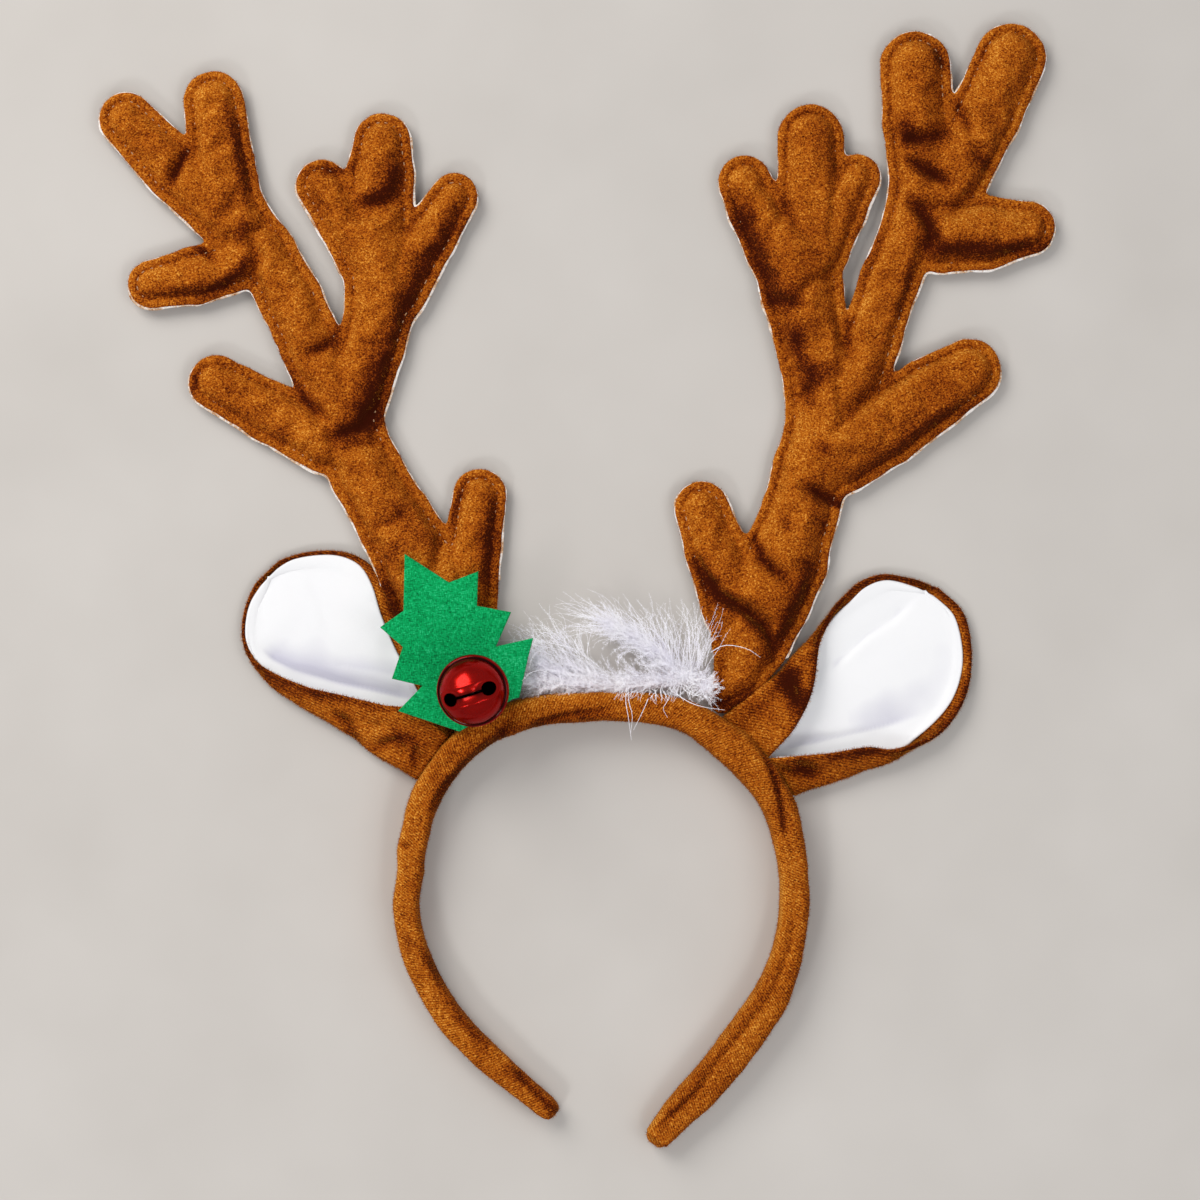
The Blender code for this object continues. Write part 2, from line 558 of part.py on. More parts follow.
def lathe(points_list, sides):
    """Spin open profiles that start and end on the axis into closed skins."""
    verts, faces = [], []
    for profile in points_list:
        rings = []
        for radius, height in profile:
            if radius == 0.0:
                rings.append([len(verts)] * sides)
                verts.append((0.0, 0.0, height))
            else:
                rings.append([len(verts) + i for i in range(sides)])
                angles = 2 * math.pi * np.arange(sides) / sides
                verts += [(radius * math.cos(a), radius * math.sin(a), height) for a in angles]
        for low, high in zip(rings[:-1], rings[1:]):
            for i in range(sides):
                k = (i + 1) % sides
                corners = dict.fromkeys((low[i], low[k], high[k], high[i]))
                faces.append(tuple(corners))
    return verts, faces


def bell_place():
    """Middle of the bell, resting by its shank on the leaf."""
    x, y = BELL_CENTRE
    leaf_top = leaf_base(np.array([BELL_CENTRE]))[0] + LEAF_THICKNESS
    return np.array((x, y, leaf_top + CLEARANCE + SHANK_LENGTH + BELL_RADIUS))


def add_cutter(name, points, faces):
    """A hidden guide body for a Boolean cut."""
    material = make_material(name, (0.5, 0.5, 0.5), 0.5)
    cutter = add_object(name, points, faces, material)
    cutter.hide_render = True
    cutter.display_type = "WIRE"
    return cutter


def cylinder_points(centre, radius, low, high, sides):
    """Points and faces of an upright prism."""
    angles = 2 * math.pi * np.arange(sides) / sides
    ring = [(centre[0] + radius * math.cos(a), centre[1] + radius * math.sin(a)) for a in angles]
    points = [(x, y, low) for x, y in ring] + [(x, y, high) for x, y in ring]
    faces = [tuple(range(sides))[::-1], tuple(range(sides, 2 * sides))]
    faces += [(i, (i + 1) % sides, (i + 1) % sides + sides, i + sides) for i in range(sides)]
    return points, faces


def build_bell(material):
    """The bell's hollow shell with its crimped ring, slot and holes."""
    outer, inner = bell_profile()
    outer_count = len(lathe([outer], BELL_SIDES)[0])
    verts, faces = lathe([outer, inner], BELL_SIDES)
    bell = add_object("bell", verts, faces, material, 35.0)
    flip_hollow(bell, outer_count)
    reach = (BELL_RADIUS - BELL_WALL) * math.sin(BELL_HOLE_ANGLE)
    cutters = []
    for label, side in (("left", -1), ("right", 1)):
        shape = cylinder_points((side * reach, 0.0), BELL_HOLE_RADIUS, 3.0, 20.0, 14)
        cutters.append(add_cutter("bell_hole_guide_" + label, *shape))
    half = BELL_SLOT_WIDTH / 2
    corners = [(x, y, z) for z in (5.0, 20.0) for x, y in
               ((-reach, -half), (reach, -half), (reach, half), (-reach, half))]
    box = [(3, 2, 1, 0), (4, 5, 6, 7), (0, 1, 5, 4), (1, 2, 6, 5), (2, 3, 7, 6), (3, 0, 4, 7)]
    cutters.append(add_cutter("bell_slot_guide", corners, box))
    for cutter in cutters:
        cut = bell.modifiers.new(cutter.name, "BOOLEAN")
        cut.operation = "DIFFERENCE"
        cut.object = cutter
    place = bell_place()
    lean = (BELL_TILT * -math.sin(BELL_TILT_TOWARDS), BELL_TILT * math.cos(BELL_TILT_TOWARDS))
    for item in [bell] + cutters:
        item.location = Vector(place * MM)
        item.rotation_mode = "XYZ"
        item.rotation_euler = (lean[0], lean[1], BELL_SLOT_TURN)
    return bell


def flip_hollow(bell, hollow_from):
    """Point the skin of the hollow, made of the later vertices, into the hollow."""
    shape = bmesh.new()
    shape.from_mesh(bell.data)
    shape.verts.index_update()
    for face in shape.faces:
        if face.verts[0].index >= hollow_from:
            face.normal_flip()
    shape.to_mesh(bell.data)
    shape.free()


def build_pellet(material):
    """The loose ball that rings the bell, lying at the bottom of its hollow."""
    angles = np.linspace(-math.pi / 2, math.pi / 2, 7)
    profile = [(PELLET_RADIUS * math.cos(a), PELLET_RADIUS * math.sin(a)) for a in angles]
    profile[0] = (0.0, -PELLET_RADIUS)
    profile[-1] = (0.0, PELLET_RADIUS)
    verts, faces = lathe([profile], 12)
    pellet = add_object("bell_pellet", verts, faces, material)
    drop = BELL_RADIUS - BELL_WALL - PELLET_RADIUS - CLEARANCE
    pellet.location = Vector((bell_place() - np.array((0.0, 0.0, drop))) * MM)
    return pellet


def build_feather(material):
    """The downy trim along the crown: locks fused to their core."""
    limbs = {"core": FEATHER_CORE}
    for index, row in enumerate(FEATHER_LOCKS):
        limbs["lock_%d" % index] = (row[:3], row[3:])
    outer = [thin_out(loop, OUTLINE_TOLERANCE) for loop in trace_outline(limbs, 0.0)]
    outer = [max(outer, key=len)]
    middle = inner_grid(limbs, FEATHER_GRID, 0.4 * FEATHER_GRID)
    flat, faces = triangulate(outer, middle)
    puff = FEATHER_PUFF * puff_height(flat, limbs, 0.0)
    puff *= np.clip(-distance_field(flat, limbs) / 1.0, 0.0, 1.0)
    upper = FEATHER_PLANE + FEATHER_EDGE / 2 + puff
    lower = np.maximum(FEATHER_PLANE - FEATHER_EDGE / 2 - puff, 0.0)
    points, skin = close_sheet(flat, faces, upper, lower)
    return add_object("feather_trim", points, skin, material, 60.0)


def main():
    clear_scene()
    velvet = (0.38, 0.13, 0.015)
    build_band(make_material("velvet_band", velvet, 0.85, sheen=0.6))
    build_antler("antler_left", LEFT_ANTLER, LEFT_FOLDS,
                 make_material("velvet_antler_left", velvet, 0.8, sheen=0.6))
    build_antler("antler_right", RIGHT_ANTLER, RIGHT_FOLDS,
                 make_material("velvet_antler_right", velvet, 0.8, sheen=0.6))
    for side, rows in (("left", LEFT_EAR), ("right", RIGHT_EAR)):
        shell = make_material("velvet_ear_" + side, velvet, 0.85, sheen=0.6)
        build_ear_layer("ear_" + side, rows, 0.0, EAR_VELVET, False, shell)
        satin = make_material("satin_ear_" + side, (0.90, 0.89, 0.92), 0.35)
        low = EAR_VELVET + EAR_LAYER_GAP
        build_ear_layer("ear_%s_lining" % side, rows, low, low + EAR_SATIN, True, satin)
    build_leaf(make_material("felt_green", (0.01, 0.33, 0.09), 0.95))
    build_bell(make_material("bell_red", (0.38, 0.005, 0.004), 0.18, metallic=1.0))
    build_pellet(make_material("pellet_steel", (0.45, 0.45, 0.46), 0.35, metallic=1.0))
    build_feather(make_material("feather_white", (0.88, 0.87, 0.92), 0.9))


main()
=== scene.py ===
"""Looks of the reindeer antler headband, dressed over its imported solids. Tables are in millimetres."""
import itertools
import math

import bmesh
import bpy
import numpy as np
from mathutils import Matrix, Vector
from mathutils.geometry import delaunay_2d_cdt
from mathutils.kdtree import KDTree


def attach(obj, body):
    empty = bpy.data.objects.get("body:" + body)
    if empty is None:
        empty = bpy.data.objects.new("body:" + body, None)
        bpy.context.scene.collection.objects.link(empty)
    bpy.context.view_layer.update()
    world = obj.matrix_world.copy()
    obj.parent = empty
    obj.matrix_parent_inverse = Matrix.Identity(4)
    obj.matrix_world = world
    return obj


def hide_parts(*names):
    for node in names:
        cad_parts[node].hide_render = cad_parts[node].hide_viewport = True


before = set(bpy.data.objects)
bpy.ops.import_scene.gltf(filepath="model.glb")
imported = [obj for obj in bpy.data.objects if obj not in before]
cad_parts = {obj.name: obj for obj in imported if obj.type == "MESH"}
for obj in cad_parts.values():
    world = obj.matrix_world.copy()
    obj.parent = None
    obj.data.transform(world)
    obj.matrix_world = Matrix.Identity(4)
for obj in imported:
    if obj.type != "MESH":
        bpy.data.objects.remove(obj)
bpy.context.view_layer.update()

MM = 0.001

# Sizes shared with the solids.
SEAM_PLANE = 4.0
STITCH_INSET = 3.5
LIMB_BLEND = 1.7
LEFT_ANTLER = {
    "beam": ((-37.4, -37.6, 6.9), (-39.4, -28.7, 11.6), (-44.6, -11.6, 16.4), (-52.4, 4.8, 15.4),
             (-62.3, 21.9, 13.4), (-71.9, 38.2, 12.7), (-78.4, 52.6, 12.6), (-81.8, 64.2, 13.0)),
    "tine_h": ((-39.4, -8.2, 12.3), (-36.0, 12.3, 9.9), (-33.5, 30.7, 9.6)),
    "tine_a": ((-86.2, 49.9, 11.9), (-105.0, 59.4, 10.5), (-123.5, 69.7, 9.6)),
    "outer": ((-81.8, 64.2, 12.3), (-90.0, 80.6, 11.2), (-98.0, 97.7, 11.1), (-106.8, 114.1, 10.6),
              (-115.9, 125.7, 10.9)),
    "tine_c": ((-115.9, 125.7, 10.2), (-121.4, 143.8, 11.3), (-124.3, 165.6, 10.6)),
    "tine_d": ((-119.4, 124.3, 10.2), (-137.5, 142.1, 10.8), (-154.2, 159.5, 9.6)),
    "tine_b": ((-115.3, 110.6, 9.9), (-130.6, 106.0, 9.9), (-145.3, 103.1, 8.7)),
    "inner": ((-77.7, 63.5, 13.0), (-70.2, 82.3, 11.3), (-66.4, 100.4, 13.0), (-68.1, 116.5, 13.0)),
    "tine_e": ((-71.5, 113.0, 11.6), (-80.1, 126.7, 10.1), (-87.3, 136.9, 9.2)),
    "tine_f": ((-68.1, 116.5, 12.3), (-67.4, 140.4, 11.8), (-66.8, 151.6, 10.2)),
    "tine_g": ((-62.3, 101.1, 11.6), (-50.4, 119.9, 9.6), (-42.2, 132.8, 8.5)),
}
RIGHT_ANTLER = {
    "beam": ((49.2, -39.2, 4.8), (55.5, -30.4, 9.4), (59.3, -18.4, 13.7), (64.0, -4.8, 15.7),
             (70.5, 8.9, 15.2), (75.3, 23.2, 13.3), (80.1, 39.6, 13.5), (84.2, 55.0, 13.3),
             (84.2, 66.9, 13.0)),
    "tine_h": ((54.8, -6.5, 13.0), (47.3, 12.3, 10.7), (42.5, 26.6, 9.6)),
    "tine_a": ((89.6, 45.8, 14.7), (105.0, 54.6, 13.9), (120.4, 65.3, 12.9), (133.7, 73.4, 11.4)),
    "outer": ((92.4, 63.5, 12.6), (100.2, 84.7, 10.5), (106.7, 104.5, 10.4), (114.1, 121.6, 10.7),
              (117.0, 133.5, 11.2)),
    "tine_c": ((118.0, 133.5, 11.1), (116.3, 159.1, 12.3), (115.4, 177.6, 12.3)),
    "tine_d": ((127.2, 136.9, 12.3), (139.2, 160.8, 12.3), (148.0, 180.3, 12.3)),
    "tine_b": ((123.8, 119.9, 13.3), (139.2, 120.6, 12.8), (153.8, 122.3, 9.6)),
    "inner": ((84.2, 63.5, 13.0), (80.1, 84.0, 12.9), (76.8, 101.1, 14.3), (73.9, 114.7, 15.0)),
    "tine_g": ((68.5, 114.7, 11.4), (61.3, 128.4, 9.9), (57.2, 138.2, 9.3)),
    "tine_f": ((79.4, 114.7, 13.0), (80.1, 135.2, 12.0), (79.7, 153.3, 11.6)),
    "tine_e": ((82.6, 114.7, 10.6), (89.5, 128.4, 9.3), (95.6, 139.7, 8.2)),
}
# Creases in the stuffing: depth, half width, then the places x, y that each one runs through.
LEFT_FOLDS = (
    (4.2, 1.5, (-133.0, 148.9), (-135.7, 143.4), (-138.1, 137.6)),
    (3.2, 1.7, (-132.0, 117.1), (-123.8, 111.3)),
    (3.2, 1.6, (-111.8, 100.4), (-108.4, 110.6), (-111.8, 119.5)),
    (2.2, 1.3, (-75.3, 154.7), (-76.3, 146.8), (-77.3, 142.1)),
    (2.0, 1.8, (-77.7, 142.1), (-87.3, 140.7)),
    (3.6, 2.2, (-75.0, 130.1), (-68.1, 129.8), (-62.0, 131.1), (-59.6, 139.3)),
    (1.8, 1.6, (-77.0, 124.3), (-64.0, 127.7)),
    (2.4, 1.6, (-58.6, 129.1), (-53.8, 130.8), (-49.0, 135.2)),
    (3.0, 1.8, (-81.1, 89.1), (-83.2, 83.0), (-90.7, 79.2)),
    (3.4, 1.7, (-98.5, 72.4), (-93.7, 64.5), (-86.6, 57.7)),
    (3.0, 2.0, (-47.0, 18.4), (-48.3, 5.5)),
    (1.4, 2.2, (-79.4, 46.4), (-65.4, 49.2)),
    (2.0, 1.6, (-107.7, 124.3), (-110.5, 118.8)),
    (1.8, 1.3, (-38.1, 33.8), (-41.8, 27.7), (-43.5, 19.1)),
    (2.4, 2.4, (-82.5, 50.5), (-73.6, 54.0), (-69.5, 59.4)),
    (1.4, 1.3, (-130.6, 73.1), (-131.3, 66.3)),
)
RIGHT_FOLDS = (
    (5.2, 1.7, (79.1, 33.5), (84.2, 30.4), (89.6, 27.7), (93.7, 28.3)),
    (2.6, 2.6, (71.2, 21.5), (72.2, 21.2)),
    (2.6, 2.4, (83.8, 20.8), (84.9, 20.5)),
    (3.8, 1.6, (60.3, 17.8), (63.3, 8.9), (71.5, 2.0)),
    (1.8, 1.8, (75.6, 7.9), (80.4, 6.8)),
    (4.8, 2.0, (40.8, 8.9), (48.0, -2.7), (57.2, -8.2), (63.7, -13.0), (67.1, -21.9)),
    (3.2, 1.6, (129.3, 166.3), (132.0, 160.5), (134.0, 154.7)),
    (3.2, 2.0, (111.5, 151.3), (118.7, 153.0), (125.5, 154.0)),
    (3.2, 2.0, (113.2, 145.5), (119.7, 141.7), (126.2, 137.6)),
    (2.8, 1.8, (134.4, 135.6), (129.3, 128.4)),
    (4.2, 2.0, (113.9, 131.1), (118.7, 125.7), (121.1, 119.5), (119.4, 114.7)),
    (2.6, 1.6, (92.4, 146.8), (90.3, 142.1)),
    (3.4, 1.7, (92.4, 91.5), (92.7, 78.5)),
    (3.0, 2.0, (108.4, 73.1), (101.6, 66.3), (93.7, 59.4)),
    (2.8, 1.6, (70.9, 132.8), (74.3, 122.3)),
    (1.5, 1.7, (76.0, 97.7), (80.1, 104.5), (87.9, 105.2), (91.7, 100.4)),
    (2.2, 1.6, (67.8, 97.7), (76.0, 95.6)),
    (2.0, 1.8, (80.1, 69.0), (76.0, 62.2)),
    (2.4, 1.3, (44.6, -38.9), (51.4, -41.0)),
    (2.2, 1.2, (49.3, -34.8), (52.1, -41.0)),
    (2.4, 1.3, (56.2, -34.2), (54.8, -41.0)),
    (2.0, 1.2, (62.3, -33.5), (58.2, -39.6)),
)
# Painted shade in creases and on shadowed slopes, some of it brushed dark pile: strength, half width, then
# the places that it runs through.
LEFT_SHADE_AND_NAP = (
    (1.0, 3.2, (-41.5, 126.7), (-47.0, 116.5), (-54.5, 105.5), (-58.9, 94.9), (-63.0, 84.7)),
    (1.0, 4.4, (-64.0, 83.0), (-67.8, 73.1), (-69.5, 64.2), (-71.5, 56.7)),
    (1.0, 3.6, (-68.8, 60.8), (-73.6, 54.0), (-82.5, 50.5)),
    (0.95, 3.0, (-62.0, 145.5), (-62.7, 138.6), (-66.1, 133.5), (-73.6, 131.1)),
    (0.75, 2.3, (-120.0, 163.9), (-115.9, 152.3), (-114.2, 142.1), (-113.2, 130.1)),
    (0.7, 1.8, (-112.5, 124.3), (-115.3, 117.5)),
    (0.9, 1.4, (-133.4, 148.9), (-137.8, 138.0)),
    (1.0, 1.9, (-111.8, 111.3), (-115.3, 106.9), (-121.7, 102.5), (-128.9, 98.4)),
    (0.6, 2.0, (-147.7, 99.0), (-129.6, 101.1)),
    (0.35, 1.6, (-92.4, 141.7), (-84.2, 123.3)),
    (0.6, 2.6, (-99.5, 54.0), (-103.0, 49.9)),
    (0.6, 1.4, (-130.6, 73.1), (-131.3, 66.3)),
    (0.6, 1.3, (-131.3, 116.1), (-123.8, 111.3)),
    (0.6, 2.6, (-81.8, 88.1), (-84.5, 82.3), (-90.7, 79.6)),
    (0.5, 3.4, (-62.3, 26.0), (-56.5, 19.8), (-50.4, 15.7)),
    (0.45, 3.0, (-59.3, 14.0), (-65.4, 8.2)),
    (0.6, 1.6, (-39.1, 32.8), (-41.8, 27.7), (-43.5, 19.8)),
    (0.85, 3.0, (-29.2, 29.4), (-30.2, 15.7), (-30.9, -1.4)),
    (0.5, 1.8, (-88.6, 141.4), (-77.7, 142.1)),
    (0.35, 1.6, (-105.7, 84.0), (-97.5, 73.1)),
    (0.6, 1.8, (-98.5, 72.4), (-93.7, 64.5), (-86.6, 57.7)),
    (1.1, 4.0, (-67.1, 3.1), (-64.7, -4.1), (-61.3, -15.0)),
)
RIGHT_SHADE_AND_NAP = (
    (1.0, 2.4, (80.1, 32.4), (86.9, 28.7), (93.4, 28.0)),
    (0.8, 2.6, (71.2, 21.2), (72.2, 20.8)),
    (0.75, 2.5, (83.8, 20.8), (84.9, 20.5)),
    (0.8, 1.8, (60.3, 16.4), (64.0, 7.9), (71.2, 1.4)),
    (1.0, 2.6, (40.8, 8.2), (48.3, -4.1), (57.5, -9.2), (64.0, -16.4)),
    (0.9, 3.2, (78.7, 4.4), (74.6, -6.1), (69.2, -16.4), (65.1, -22.5)),
    (0.5, 2.6, (76.0, 7.2), (80.4, 6.5)),
    (0.7, 1.8, (121.4, 183.7), (126.5, 175.5)),
    (0.9, 2.6, (110.8, 159.1), (112.2, 152.3)),
    (0.9, 3.0, (112.2, 151.6), (118.7, 152.0), (125.2, 153.0)),
    (0.95, 2.4, (112.9, 145.1), (119.0, 141.7), (125.8, 137.6)),
    (0.6, 2.2, (135.4, 146.8), (140.2, 142.7)),
    (1.0, 2.9, (115.3, 129.8), (120.4, 123.6), (121.7, 116.8)),
    (1.0, 2.8, (119.0, 115.1), (130.6, 114.7), (144.3, 115.1), (160.0, 116.1)),
    (0.6, 1.9, (114.2, 110.6), (111.8, 101.1), (109.5, 92.2)),
    (0.4, 1.4, (104.3, 122.9), (99.9, 113.0), (95.1, 100.4)),
    (0.9, 3.8, (53.8, 130.8), (59.6, 119.9), (63.0, 109.6)),
    (1.0, 3.6, (63.7, 108.6), (68.5, 97.7), (75.0, 95.6)),
    (0.95, 3.4, (71.9, 89.1), (76.0, 79.9), (78.0, 70.3)),
    (0.7, 3.0, (78.0, 70.3), (86.9, 73.8)),
    (0.7, 2.6, (77.3, 64.2), (81.4, 61.5)),
    (0.4, 2.0, (70.9, 131.8), (74.3, 122.3)),
    (0.6, 2.6, (138.8, 63.5), (127.2, 58.7), (115.3, 51.9), (103.3, 42.3), (93.4, 33.5)),
    (0.75, 2.4, (81.8, 47.5), (85.2, 46.8)),
    (0.6, 1.6, (128.9, 166.0), (133.7, 155.7)),
    (0.35, 2.0, (92.4, 90.8), (92.7, 78.5)),
    (0.7, 2.6, (62.3, -35.5), (54.8, -38.9)),
    (0.8, 3.0, (44.6, -40.0), (54.8, -41.7)),
)

BAND_SECTIONS = (
    (-7.3, -180.8, 7.2, 9.0), (-24.8, -166.1, 8.8, 9.6), (-36.1, -155.6, 9.4, 10.2),
    (-46.0, -143.8, 9.4, 10.8), (-54.5, -127.7, 9.0, 12.0), (-58.2, -111.3, 8.6, 13.0),
    (-57.0, -97.0, 8.7, 13.6), (-55.7, -86.4, 9.6, 14.0), (-50.4, -69.3, 10.0, 14.6),
    (-36.7, -52.6, 10.6, 15.0), (-19.6, -44.0, 10.2, 15.0), (7.7, -41.0, 9.6, 15.0),
    (35.0, -43.7, 10.4, 15.0), (55.0, -57.2, 12.4, 15.0), (67.6, -73.1, 11.2, 14.6),
    (72.6, -90.2, 9.8, 14.2), (73.9, -105.5, 9.7, 13.6), (72.6, -120.2, 10.0, 13.0),
    (66.9, -138.1, 11.9, 12.2), (56.5, -154.2, 12.6, 11.4), (44.5, -169.5, 12.4, 10.6),
    (34.3, -180.0, 10.8, 10.0), (25.3, -190.6, 8.0, 9.0),
)
# Outline of the sleeve's section: across from -1 (outer side) to 1 (inner side), height 0 to 1.
BAND_PROFILE = (
    (-0.60, 0.0), (0.60, 0.0), (0.90, 0.07), (1.0, 0.25), (1.0, 0.70), (0.86, 0.93), (0.50, 1.0),
    (0.14, 1.0), (-0.14, 1.0), (-0.50, 1.0), (-0.86, 0.93), (-1.0, 0.70), (-1.0, 0.25), (-0.90, 0.07),
)
TIP_ROUNDING = ((0.0, 0.30), (0.35, 0.55), (1.1, 0.80), (2.6, 0.95))
# Grooves of the sleeve: depth, half width, then the places x, y that each one runs through.
BAND_GROOVES = (
    (1.0, 0.7, (-22.0, -163.2), (-15.5, -170.8), (-7.0, -179.3)),
    (1.9, 0.8, (52.4, -43.0), (58.9, -49.9), (62.7, -55.0), (66.1, -63.2), (68.5, -71.4),
     (69.8, -78.2), (70.5, -84.0)),
    (0.8, 0.7, (73.3, -112.4), (72.6, -120.9), (69.5, -130.1), (63.7, -143.1)),
    (1.5, 0.7, (66.4, -138.0), (55.8, -152.0), (48.7, -160.5), (41.8, -170.4), (34.0, -178.3),
     (26.1, -185.1)),
    (1.8, 1.1, (-49.7, -77.2), (-45.9, -69.7), (-39.4, -62.2), (-32.6, -56.0), (-26.5, -50.9)),
    (1.6, 1.0, (-27.1, -51.9), (-24.4, -47.8), (-21.7, -45.1)),
    (1.8, 1.0, (-15.5, -48.2), (-11.1, -45.8), (-2.6, -43.4), (11.1, -42.0)),
    (1.0, 0.9, (-59.3, -87.4), (-56.9, -90.2)),
    (0.8, 0.9, (-54.5, -120.9), (-49.0, -129.4), (-45.6, -138.6)),
    (0.9, 0.8, (-39.4, -147.9), (-30.9, -156.4), (-22.7, -163.9)),
)
# Painted shade in the sleeve's grooves and on its shaded inner side, some of it brushed dark pile, in the
# same way as on the antlers.
BAND_SHADE_AND_NAP = (
    (0.9, 2.0, (-48.3, -75.1), (-42.9, -65.9), (-34.0, -58.1), (-26.5, -51.2)),
    (0.7, 1.6, (-26.5, -51.2), (-21.3, -46.4)),
    (0.8, 1.6, (-15.5, -47.5), (-6.0, -44.4), (11.1, -42.7)),
    (0.6, 2.0, (-52.8, -124.0), (-48.7, -129.4), (-45.2, -138.0), (-39.4, -147.5), (-31.2, -156.1)),
    (0.8, 1.5, (-22.7, -163.9), (-15.2, -171.1), (-7.0, -179.3)),
    (0.5, 1.8, (-59.3, -87.4), (-56.5, -88.8)),
    (0.4, 2.0, (-57.9, -120.2), (-56.5, -121.6)),
    (0.9, 1.2, (62.7, -55.0), (66.1, -63.2), (68.5, -71.4), (70.2, -83.3)),
    (0.35, 2.6, (67.8, -127.7), (60.6, -141.4), (53.8, -149.6), (45.9, -159.1), (38.4, -168.7),
     (30.9, -176.2)),
    (0.6, 1.4, (41.8, -170.4), (34.0, -178.3), (26.8, -184.8)),
    (0.35, 2.4, (58.2, -44.4), (66.4, -56.7), (72.6, -71.4)),
)

LEFT_EAR = (
    (-55.0, -65.7, -44.4, -51.1, 10.5, -43.5, -50.4, 9.5, -42.4, -49.8, 0.4, 0.4),
    (-61.9, -61.2, -55.2, -42.8, 12.0, -50.8, -42.0, 7.5, -48.6, -40.8, 0.8, 0.8),
    (-72.2, -55.0, -66.4, -41.3, 11.0, -54.2, -30.8, 4.4, -55.8, -32.6, 0.6, 2.6),
    (-84.5, -46.8, -78.2, -38.4, 10.0, -59.0, -18.8, 1.8, -61.6, -20.8, 0.6, 4.2),
    (-96.1, -40.6, -91.2, -35.4, 8.4, -63.4, -7.0, 2.2, -66.8, -9.8, 0.5, 4.8),
    (-105.2, -33.6, -103.4, -31.0, 6.0, -67.8, 2.8, 2.0, -71.0, -0.6, 0.5, 3.6),
    (-110.6, -26.0, -111.4, -26.0, 4.0, -73.6, 8.9, 1.6, -76.4, 4.8, 0.5, 2.0),
    (-112.4, -17.8, -114.6, -18.8, 2.6, -82.0, 11.7, 1.4, -84.0, 7.8, 0.6, 1.3),
    (-111.2, -8.6, -114.0, -9.0, 1.8, -92.2, 11.4, 1.4, -93.0, 7.6, 0.8, 1.2),
    (-108.4, -2.4, -110.8, -0.6, 1.4, -101.5, 8.8, 1.3, -102.6, 5.6, 1.0, 1.1),
    (-107.0, 2.2, -108.0, 3.2, 1.3, -105.6, 5.8, 1.3, -105.8, 4.4, 0.4, 0.4),
)
RIGHT_EAR = (
    (50.2, -44.6, 64.7, -57.6, 9.6, 65.9, -59.0, 9.6, 74.6, -71.8, 0.4, 0.4),
    (60.0, -36.4, 72.6, -48.6, 10.5, 75.6, -58.4, 10.5, 79.4, -69.4, 0.6, 0.6),
    (67.6, -30.8, 77.6, -39.6, 10.5, 87.0, -57.4, 10.5, 86.6, -67.2, 0.6, 0.6),
    (74.6, -22.8, 80.2, -31.2, 9.4, 99.0, -55.8, 9.8, 97.2, -63.6, 0.6, 0.7),
    (81.0, -15.8, 81.4, -18.6, 7.0, 109.2, -56.6, 8.0, 108.6, -59.0, 3.4, 3.2),
    (86.8, -10.2, 86.2, -8.6, 5.0, 121.6, -52.2, 5.6, 120.2, -49.0, 3.4, 4.8),
    (93.4, -5.8, 91.5, -2.8, 3.6, 131.2, -40.9, 4.0, 128.0, -37.8, 3.0, 4.0),
    (99.4, -2.4, 97.3, 1.6, 2.2, 134.6, -26.0, 2.8, 130.8, -25.0, 2.2, 2.8),
    (106.6, 0.2, 105.2, 3.8, 1.6, 132.3, -10.2, 1.8, 129.2, -10.4, 1.8, 3.2),
    (115.0, -0.6, 114.9, 2.2, 1.3, 124.6, -2.0, 1.3, 122.8, -3.8, 1.8, 2.0),
    (118.2, 0.2, 118.6, 1.3, 1.2, 121.4, 0.1, 1.2, 120.9, -0.6, 0.4, 0.4),
)
CURL_SHARE = 0.42
KEEL_SHARE = 0.18
EAR_VELVET = 1.2
EAR_SATIN = 1.0
EAR_LAYER_GAP = 0.5
# Painted shade along the ears' rims, where the velvet meets the lining: strength and half width.
EAR_HEM_SHADE = 0.85
EAR_HEM_WIDTH = 1.6
# Soft folds in the linings, which also paint shade on the satin: depth, softness, places. The depth is
# above 0 if the slow slope is on the left of the line.
LEFT_LINING_FOLDS = (
    (1.7, 6.5, (-108.8, -20.6), (-104.0, -24.5), (-96.9, -27.8), (-81.6, -32.4), (-62.0, -37.0),
     (-52.0, -39.0)),
    (0.5, 5.0, (-84.0, -26.0), (-70.0, -28.0), (-56.0, -31.0)),
    (0.25, 6.0, (-94.0, 6.0), (-88.0, -6.0), (-86.0, -16.0)),
)
RIGHT_LINING_FOLDS = (
    (-1.0, 3.4, (116.5, -3.4), (107.6, -11.2), (98.6, -16.9), (89.6, -25.3), (86.0, -30.0)),
    (1.1, 4.5, (66.0, -57.0), (75.0, -54.2), (90.0, -51.2), (104.0, -47.6), (118.0, -43.0)),
    (0.25, 5.0, (88.0, -34.0), (92.0, -42.0), (94.0, -48.0)),
)
# Creases pressed into the turned-up velvet of the ears.
LEFT_EAR_CREASES = (
    (1.5, 1.5, (-68.8, -55.3), (-65.1, -52.9), (-59.3, -51.6), (-54.5, -51.9)),
    (1.2, 1.3, (-82.5, -43.0), (-77.7, -47.1), (-75.3, -53.3)),
    (1.3, 1.3, (-54.5, -53.3), (-56.2, -63.5)),
    (1.1, 1.2, (-62.7, -47.8), (-59.9, -53.3), (-57.9, -61.5)),
    (0.8, 1.2, (-49.0, -53.3), (-52.4, -59.4), (-55.2, -64.9)),
    (0.8, 1.2, (-70.2, -46.4), (-64.0, -49.9)),
)
RIGHT_EAR_CREASES = (
    (1.6, 1.8, (70.5, -31.4), (73.3, -34.8), (74.6, -38.9)),
    (0.9, 1.3, (65.7, -41.0), (68.5, -35.5), (72.6, -30.1)),
    (1.3, 2.0, (75.3, -60.8), (80.1, -62.8), (83.5, -64.9)),
    (0.9, 1.2, (68.5, -60.8), (76.0, -66.9)),
    (0.7, 1.2, (59.6, -41.0), (65.1, -47.1)),
)
